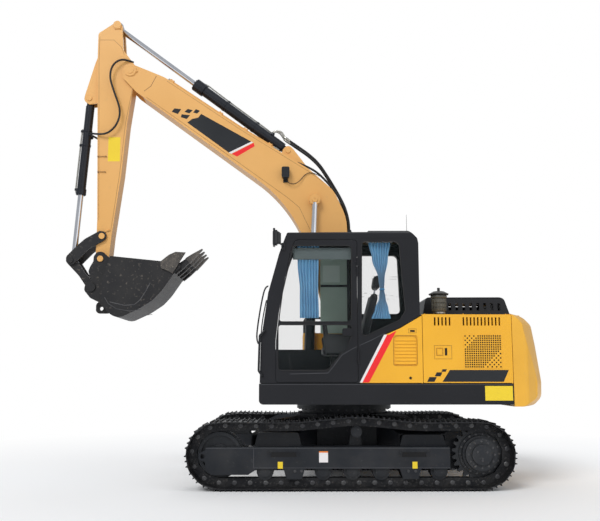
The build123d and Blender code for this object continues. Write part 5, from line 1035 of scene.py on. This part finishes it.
def add_curtains():
    """The gathered curtains, pleated to the width they are cut to, with their rails and tie."""
    for name, cloth, rows in CURTAINS:
        top, bottom = rows[0][0], rows[-1][0]
        shape = bmesh.new()
        grid = []
        for j in range(CURTAIN_DOWN + 1):
            z = top + (bottom - top) * j / CURTAIN_DOWN
            left, right = row_at(rows, z)
            depth = pleat_depth(right - left, cloth)
            line = []
            for i in range(CURTAIN_ACROSS + 1):
                part = i / CURTAIN_ACROSS
                # Slow waves in both directions keep the pleats from being all alike.
                phase = 2 * pi * PLEATS * part + 0.5 * sin(3.1 * part + z * 0.004)
                x = left + (right - left) * (part + 0.012 * sin(9 * part + z * 0.006))
                line.append(shape.verts.new((x * MM, (CURTAIN_Y + depth * sin(phase)) * MM, z * MM)))
            grid.append(line)
        for above, below in zip(grid, grid[1:]):
            for corners in zip(above, above[1:], below[1:], below):
                shape.faces.new(corners)
        mesh = mesh_from(shape, name, outward=False)
        mesh.shade_smooth()
        piece = new_piece(name, mesh, "house", "curtain_blue")
        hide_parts("curtains")
    starts = [(x, CURTAIN_Y, z) for x, z in ((-610, 2788), (205, 2760))]
    rails = [(turned, [(0, 7), (290, 7)], start, (1, 0, 0), 12) for start in starts]
    solid("curtain_rails", rails, "house", "fitting_zinc")
    tie = (slab, (342, CURTAIN_Y - 24, 2204), (402, CURTAIN_Y + 24, 2226), 6)
    solid("curtain_tie", [tie], "house", "tie_blue")


# Boom, arm and bucket details

BOOM_FACE = 155.0
ARM_FACE = 120.0
BUCKET_FACE = 400.0
# The boom's top line: nose, middle and knee as x and z.
BOOM_TOP = ((-2318.0, 5112.0), (-1325.0, 4437.0), (-430.0, 3880.0))
PIPE_Y = 95.0
INNER_Y = 60
OUTER_Y = 122
# Hose routes as x and z.
KNEE = (78, 2900)
INNER_ROUTE = (
    (-735, 4322), (-602, 4226), (-440, 4114), (-302, 3983), (-200, 3826), (-113, 3681), (-30, 3535),
    (40, 3385), (78, 3225), (84, 3060), KNEE)
OUTER_ROUTE = (
    (-905, 4128), (-800, 4066), (-640, 3992), (-480, 3935), (-330, 3852), (-215, 3735), (-113, 3612),
    (-30, 3494), (38, 3352), (74, 3225), (84, 3060), KNEE)
FOOT_ROUTE = (KNEE, (88, 2700), (120, 2450), (170, 2150), (240, 1850), (350, 1610), (470, 1460), (562, 1400))
# Where the foot hoses leave the boom and reach the house.
FOOT_JOINT = ("boom", "house", (78, 0, 2880), (562, 0, 1400))
# Fittings: distance along the pipe or hose, radius.
PIPE_END = ((-6, 15), (24, 15), (26, 19), (44, 19), (46, 16), (80, 16))
PIPE_START = ((-44, 15), (-30, 15), (-28, 18), (-14, 18), (-12, 15), (-1, 15))
HOSE_FITTING = ((0, 18), (34, 18), (36, 16), (70, 16))
HOSE_NUT = ((-30, 15), (-4, 15), (0, 18))


def pipe_clamp(shape, x, z, turn, y):
    """Adds a clamp block with two bolts, on the boom's top at x and z."""
    before = set(shape.verts)
    slab(shape, (-30, y - 24, 0.4), (30, y + 24, 37), 5)
    for ahead in (-18, 18):
        bolt(shape, (ahead, y, 37), (0, 0, 1), 16)
    settle(shape, before, x, z, turn)


def add_boom_lines():
    """Steel pipes, clamps and hoses along the boom, and their hoses on to the house."""
    nose, middle, knee = BOOM_TOP
    near = [from_axis(nose, middle, distance, 18) for distance in (35, 300, 800, 1140)]
    far = [from_axis(middle, knee, distance, 18) for distance in (60, 300, 500)]
    for side, word in SIDES:
        points = [(x, side * PIPE_Y, z) for x, z in near + far]
        pipe = tube("boom_pipe_" + word, points, 12, "boom", "boom_tan")
        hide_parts("boom_pipes")
    clamps = []
    for a, b, distance in ((nose, middle, 90), (nose, middle, 870), (middle, knee, 60), (middle, knee, 440)):
        turn = atan2(b[1] - a[1], b[0] - a[0])
        clamps += [(pipe_clamp, *from_axis(a, b, distance), turn, side * PIPE_Y) for side, _ in SIDES]
    solid("pipe_clamps", clamps, "boom", "boom_tan")
    fittings = []
    back = (nose[0] - middle[0], 0, nose[1] - middle[1])
    ahead = (knee[0] - middle[0], 0, knee[1] - middle[1])
    hose_start, hose_next = INNER_ROUTE[:2]
    hose_ahead = (hose_next[0] - hose_start[0], 0, hose_next[1] - hose_start[1])
    for side, _ in SIDES:
        for rows, (x, z), y, axis, sides in (
                (PIPE_END, far[-1], PIPE_Y, ahead, 18),
                (PIPE_START, near[0], PIPE_Y, back, 18),
                (HOSE_FITTING, hose_start, INNER_Y, hose_ahead, 18),
                (HOSE_NUT, hose_start, INNER_Y, hose_ahead, 6)):
            fittings.append((turned, rows, (x, side * y, z), axis, sides))
    solid("boom_fittings", fittings, "boom", "fitting_zinc")
    blocks = []
    for y in (-OUTER_Y, -INNER_Y, INNER_Y, OUTER_Y):
        blocks.append((slab, (54, y - 24, 3030), (106, y + 24, 3090), 5))
        blocks.append((bolt, (106, y, 3060), (1, 0, 0), 18))
    solid("hose_blocks", blocks, "boom", "frame_black")
    for level, y, route in (("_inner", INNER_Y, INNER_ROUTE), ("_outer", OUTER_Y, OUTER_ROUTE)):
        # The outer hoses start at the pipes and move out over their first points.
        across = [PIPE_Y, 0.9 * OUTER_Y] if y == OUTER_Y else []
        across += [y] * (len(route) - len(across))
        for side, word in SIDES:
            points = [(x, side * out, z) for (x, z), out in zip(route, across)]
            hose("knee_hose_" + word + level, points, 14.0, body="boom")
            points = [(x, side * y, z) for x, z in FOOT_ROUTE]
            hose("foot_hose_" + word + level, points, 14.0, across=FOOT_JOINT)


# Cylinders: foot and eye as x and z.
ARM_CYLINDER = ((-705.0, 4150.0), (-2970.0, 5850.0))
BUCKET_CYLINDER = ((-3312.0, 4850.0), (-3456.0, 2697.0))
ARM_TUBE_Y = 36
# Tubes beside the barrels: distance along the cylinder, distance aside from its axis.
ARM_TUBE = ((332, -84), (380, -90), (800, -88), (1300, -92), (1400, -98), (1450, -88))
BUCKET_TUBE = ((400, -66), (430, -72), (700, -73), (1100, -73), (1215, -74), (1262, -62))


def axes_of(cylinder):
    """Directions along a cylinder and, on the side of its tube, out from it."""
    (foot_x, foot_z), (eye_x, eye_z) = cylinder
    dx, dz = eye_x - foot_x, eye_z - foot_z
    return (dx, 0, dz), Vector((dz, 0, -dx)).normalized()


def ports(cylinder, places, aside, rows, axis, sides):
    """Parts of the ports of a cylinder: places are distance along it and y."""
    spots = [(from_axis(*cylinder, distance, aside), y) for distance, y in places]
    return [(turned, rows, (x, y, z), axis, sides) for (x, z), y in spots]


def gland_bolts(cylinder, distance, radius, count, size):
    """Parts of the bolts around a cylinder's gland."""
    ahead, out = axes_of(cylinder)
    x, z = from_axis(*cylinder, distance)
    turns = [2 * pi * i / count for i in range(count)]
    steps = [Vector((0, 1, 0)) * cos(turn) + out * sin(turn) for turn in turns]
    return [(bolt, Vector((x, 0, z)) + step * radius, ahead, size) for step in steps]


def bands(cylinder, distances, inner, outer, half, saddle):
    """Parts of the bands round a barrel. Saddle: half length, radius, aside, y and sides."""
    ahead, _ = axes_of(cylinder)
    reach, radius, aside, y, sides = saddle
    ring = [(-half, inner), (1 - half, outer), (half - 1, outer), (half, inner)]
    parts = []
    for distance in distances:
        x, z = from_axis(*cylinder, distance)
        parts.append((turned, ring, (x, 0, z), ahead, 32, True))
        x, z = from_axis(*cylinder, distance, aside)
        parts.append((turned, [(-reach, radius), (reach, radius)], (x, y, z), ahead, sides))
    return parts


def add_cylinder_lines():
    """Ports, steel tubes, bands and gland bolts of the arm's and bucket's cylinders."""
    _, up = axes_of(ARM_CYLINDER)
    rows = [(-6, 26), (16, 26), (18, 20), (30, 20)]
    parts = ports(ARM_CYLINDER, ((300, -35), (330, 35), (1450, 40)), -56, rows, up, 18)
    parts += gland_bolts(ARM_CYLINDER, 1535, 66, 10, 20)
    solid("arm_cylinder_ports", parts, "arm_barrel", "cylinder_black")
    line = [from_axis(*ARM_CYLINDER, distance, aside) for distance, aside in ARM_TUBE]
    points = [(x, ARM_TUBE_Y, z) for x, z in line]
    tube("arm_cylinder_tube", points, 9, "arm_barrel", "fitting_zinc")
    parts = bands(ARM_CYLINDER, (560, 1040), 67, 72, 14, (16, 15, -86, ARM_TUBE_Y, 12))
    solid("arm_cylinder_bands", parts, "arm_barrel", "cylinder_black")
    for (side, word), distance in zip(SIDES, (300, 330)):
        x, z = from_axis(*ARM_CYLINDER, distance, -86)
        end_x, end_z = INNER_ROUTE[0]
        points = [(x, 35, z), (x + 22, 38.5, z + 26), (x + 70, 47.25, z + 24), (x + 118, 56, z - 6),
                  (end_x - 20, 59.99, end_z + 15), (end_x, 59.99, end_z)]
        points = [(x, side * y, z) for x, y, z in points]
        joint = ("arm_barrel", "boom", (x, 0, z), (-745, 0, 4330))
        hose("port_hose_" + word, points, 12.0, across=joint, finish="fitting_zinc")
    _, behind = axes_of(BUCKET_CYLINDER)
    rows = [(-6, 22), (18, 22), (20, 16), (28, 16)]
    parts = ports(BUCKET_CYLINDER, ((470, -30), (500, 30)), 44, rows, -behind, 16)
    parts += bands(BUCKET_CYLINDER, (430, 620, 1215), 55, 62, 12, (14, 19, -70, 0, 14))
    parts += gland_bolts(BUCKET_CYLINDER, 1280, 50, 8, 16)
    solid("bucket_cylinder_ports", parts, "bucket_barrel", "cylinder_black")
    line = [from_axis(*BUCKET_CYLINDER, distance, aside) for distance, aside in BUCKET_TUBE]
    points = [(x, 0, z) for x, z in line]
    tube("bucket_cylinder_tube", points, 10, "bucket_barrel", "fitting_zinc")


# Lock bars of the pins: name, x, z, turn, face's half-width, body.
PIN_LOCKS = (
    ("nose", -2712, 5170, 0.9, BOOM_FACE, "boom"),
    ("arm_top", -2962, 5800, 0.1, ARM_FACE, "arm"),
    ("boom_eye", -361, 3548, 0.2, BOOM_FACE, "boom"),
    ("bucket_pin", -3000, 2650, 0.6, ARM_FACE, "arm"),
    ("rocker_pin", -3020, 3075, 0.3, ARM_FACE, "arm"),
)
STUDS = ((-3162, 4052), (-3059, 4053), (-3154, 3847), (-3062, 3848))


def lock_bar(shape, side, x, z, turn, face):
    """Adds a lock bar and its bolt on one face, turned and moved to its pin."""
    before = set(shape.verts)
    raised(shape, -42, 42, -11, 11, side, side * (face - 0.5), 9.5, 2.5)
    bolt(shape, (26, side * (face + 9), 0), (0, side, 0), 20)
    settle(shape, before, x, z, turn)


def add_pin_locks():
    """Lock bars and bolts beside the pins, and the studs on the arm."""
    for name, x, z, turn, face, body in PIN_LOCKS:
        bars = [(lock_bar, side, x, z, turn, face) for side, _ in SIDES]
        solid("lock_bar_" + name, bars, body, "boom_tan")
    studs = []
    for side, _ in SIDES:
        for x, z in STUDS:
            studs.append((turned, [(0, 9), (16, 9), (18, 7)], (x, side * ARM_FACE, z), (0, side, 0), 12))
        for z in (4052, 3848):
            studs.append((raised, -3150, -3070, z - 4, z + 4, side, side * (ARM_FACE + 8), 6, 1.5))
    solid("arm_studs", studs, "arm", "dark_tan")


def add_boom_eyes():
    """The painted eyes of the boom cylinders' rods, with their caps."""
    rows = [(197, 60), (197, 68), (200, 70), (256, 70), (259, 67), (259, 40), (268, 38), (268, 12), (264, 10)]
    eyes = [(turned, rows, (-361, 0, 3464), (0, side, 0), 32) for side, _ in SIDES]
    solid("boom_cylinder_eyes", eyes, "boom_rods", "boom_tan")


# Lines of painted shade along the weld seams, and worn lines: points of x and z, width.
ARM_SEAMS = (
    (((-3196, 5690), (-3196, 5360), (-3150, 4005), (-3124, 3216)), 5),
    (((-3196, 5640), (-3010, 5640), (-2905, 5540), (-2868, 5440)), 5),
    (((-2740, 5000), (-2822, 4502), (-2876, 3833), (-2968, 3060)), 5),
)
BOOM_SEAMS = (
    (((-2430, 5130), (-2500, 4990), (-2585, 4925)), 8),
    (((-2560, 4846), (-1600, 4155), (-700, 3500), (-560, 3380)), 5),
    (((-560, 3380), (-330, 2900), (-190, 2300), (-120, 1820)), 5),
    (((-2290, 5062), (-1330, 4412), (-445, 3856), (-250, 3710)), 4),
)
BUCKET_WEAR = (
    (((-2396, 2375), (-2450, 2270), (-2510, 2170), (-2580, 2110), (-2700, 2100), (-2880, 2141)), 9),
    (((-2950, 2200), (-2900, 2120), (-2800, 2058), (-2640, 2030), (-2500, 2050)), 6),
)
# Sets of lines: name, lines, face's half-width, body, finish, slot.
SEAMS = (
    ("arm_seams_", ARM_SEAMS, ARM_FACE, "arm", "dark_tan", "boom_tan"),
    ("boom_seams_", BOOM_SEAMS, BOOM_FACE, "boom", "dark_tan", "boom_tan"),
    ("bucket_wear_", BUCKET_WEAR, BUCKET_FACE, "bucket", "worn_steel", "bucket_black"),
)


def add_seams():
    """Lines of painted shade along the weld seams of the boom's and arm's plates, and worn lines on the
    bucket.
    """
    for side, word in SIDES:
        for name, lines, face, body, finish, slot in SEAMS:
            outlines = [ribbon(points, width) for points, width in lines]
            plates(name + word, outlines, side, side * face, SKIN, body, finish)


LAMP_WIRE = (
    (-712, -200, 3712), (-690, -205, 3684), (-640, -200, 3672), (-585, -190, 3690), (-535, -180, 3740),
    (-495, -172, 3795), (-440, -168, 3832), (-385, -166, 3830), (-330, -164, 3806), (-292, -160, 3786))


def add_lamp_wire():
    """The lamp's wire along the boom."""
    hose("lamp_wire", LAMP_WIRE, 5.0, body="boom")


# Stripes, bands and blank labels

# Stripes on the left doors: name, finish, outlines, door.
DOOR_STRIPES = (
    ("stripe_white", "stripe_white", [[(104, 1172), (132, 1172), (414, 1700), (380, 1700)]],
     "left_front_door"),
    ("stripe_red", "stripe_red", [[(132, 1172), (207, 1172), (520, 1745), (438, 1700), (414, 1700)]],
     "left_front_door"),
    ("door_band", "band_black", [
        [(1020, 1180), (1700, 1180), (1760, 1310), (1106, 1310)],
        [(850, 1180), (932, 1180), (958, 1232), (876, 1232)],
        [(936, 1240), (1000, 1240), (1022, 1284), (958, 1284)],
        [(1010, 1290), (1058, 1290), (1072, 1318), (1024, 1318)],
    ], "left_rear_door"),
)
# The band on both sides of the boom: name, finish, outlines.
BOOM_STRIPES = (
    ("boom_band_", "band_black", [
        [(-1835, 4617), (-1180, 4246), (-1470, 4100), (-2014, 4500), (-1953, 4548), (-1874, 4568)],
        [(-2185, 4691), (-2095, 4681), (-2138, 4615), (-2218, 4645)],
        [(-2010, 4685), (-1945, 4666), (-1989, 4624), (-2054, 4644)],
        [(-2088, 4613), (-1980, 4598), (-2020, 4548), (-2100, 4572)],
        [(-1906, 4681), (-1851, 4659), (-1888, 4622), (-1940, 4637)],
    ]),
    ("boom_edge_", "stripe_white", [[(-1180, 4246), (-1155, 4236), (-1438, 4084), (-1470, 4100)]]),
    ("boom_stripe_", "stripe_red", [[(-1150, 4230), (-1136, 4185), (-1363, 4047), (-1433, 4082)]]),
)
# Labels on the left side: name, x from and to, z from and to, face's half-width, body, finish.
LABELS = (
    ("label_arm", -3035, -2880, 3990, 4312, ARM_FACE, "arm", "label_yellow"),
    ("label_skirt", 1490, 1796, 975, 1134, HOUSE_FACE, "house", "label_yellow"),
    ("label_track_front", -802, -747, 232, 306, FRAME_FACE, "chassis", "label_yellow"),
    ("label_track_rear", 686, 741, 232, 306, FRAME_FACE, "chassis", "label_yellow"),
    ("label_track_middle", -346, -247, 299, 404, FRAME_FACE, "chassis", "stripe_white"),
    ("label_track_edge", -346, -247, 405, 419, FRAME_FACE, "chassis", "label_orange"),
)


def add_stripes():
    """The slanting stripe and the band on the left doors, and the bands on both sides of the boom."""
    for name, finish, outlines, body in DOOR_STRIPES:
        plates(name, outlines, -1, DOOR_FACE, SKIN, body, finish)
    for side, word in SIDES:
        for name, finish, outlines in BOOM_STRIPES:
            plates(name + word, outlines, side, side * BOOM_FACE, SKIN, "boom", finish)


def add_labels():
    """Blank labels where the machine carries them."""
    for name, low_x, high_x, low_z, high_z, face, body, finish in LABELS:
        plates(name, [oblong(low_x, high_x, low_z, high_z)], -1, -face, SKIN, body, finish)


# Hoses across the arm's and the bucket cylinder's joints: name, points, the joint crossed.
ARM_HOSES = (
    ("arm_hose_", (
        (-2740, -112, 5332), (-2800, -130, 5352), (-2890, -170, 5352), (-2960, -186, 5310),
        (-3015, -188, 5232), (-3030, -188, 5110), (-3000, -186, 4990), (-2965, -184, 4895),
    ), ("boom", "arm", (-2760, 0, 5330), (-3020, 0, 5200))),
    ("bucket_hose_", (
        (-2965, -184, 4895), (-2917, -184, 4771), (-2885, -184, 4660), (-2888, -184, 4555),
        (-2935, -182, 4440), (-3016, -178, 4362), (-3090, -170, 4338), (-3175, -150, 4345),
        (-3250, -100, 4366), (-3296, -52, 4386),
    ), ("arm", "bucket_barrel", (-3000, 0, 4362), (-3200, 0, 4362))),
)


def add_arm_hoses():
    """The rubber hoses that bridge the moving joints of the arm and the bucket cylinder."""
    for side, word in SIDES:
        for name, route, joint in ARM_HOSES:
            hose(name + word, [(x, -side * y, z) for x, y, z in route], 13.0, across=joint)


add_camera()
add_world()
add_suns()
add_floor()
add_stripes()
add_labels()
add_arm_hoses()
add_track_links()
add_frame_details()
add_ring_bolts()
add_latches()
add_tail_details()
add_air_cleaner_details()
add_hood_details()
add_cab_details()
add_seat()
add_curtains()
add_boom_lines()
add_cylinder_lines()
add_pin_locks()
add_boom_eyes()
add_seams()
add_lamp_wire()
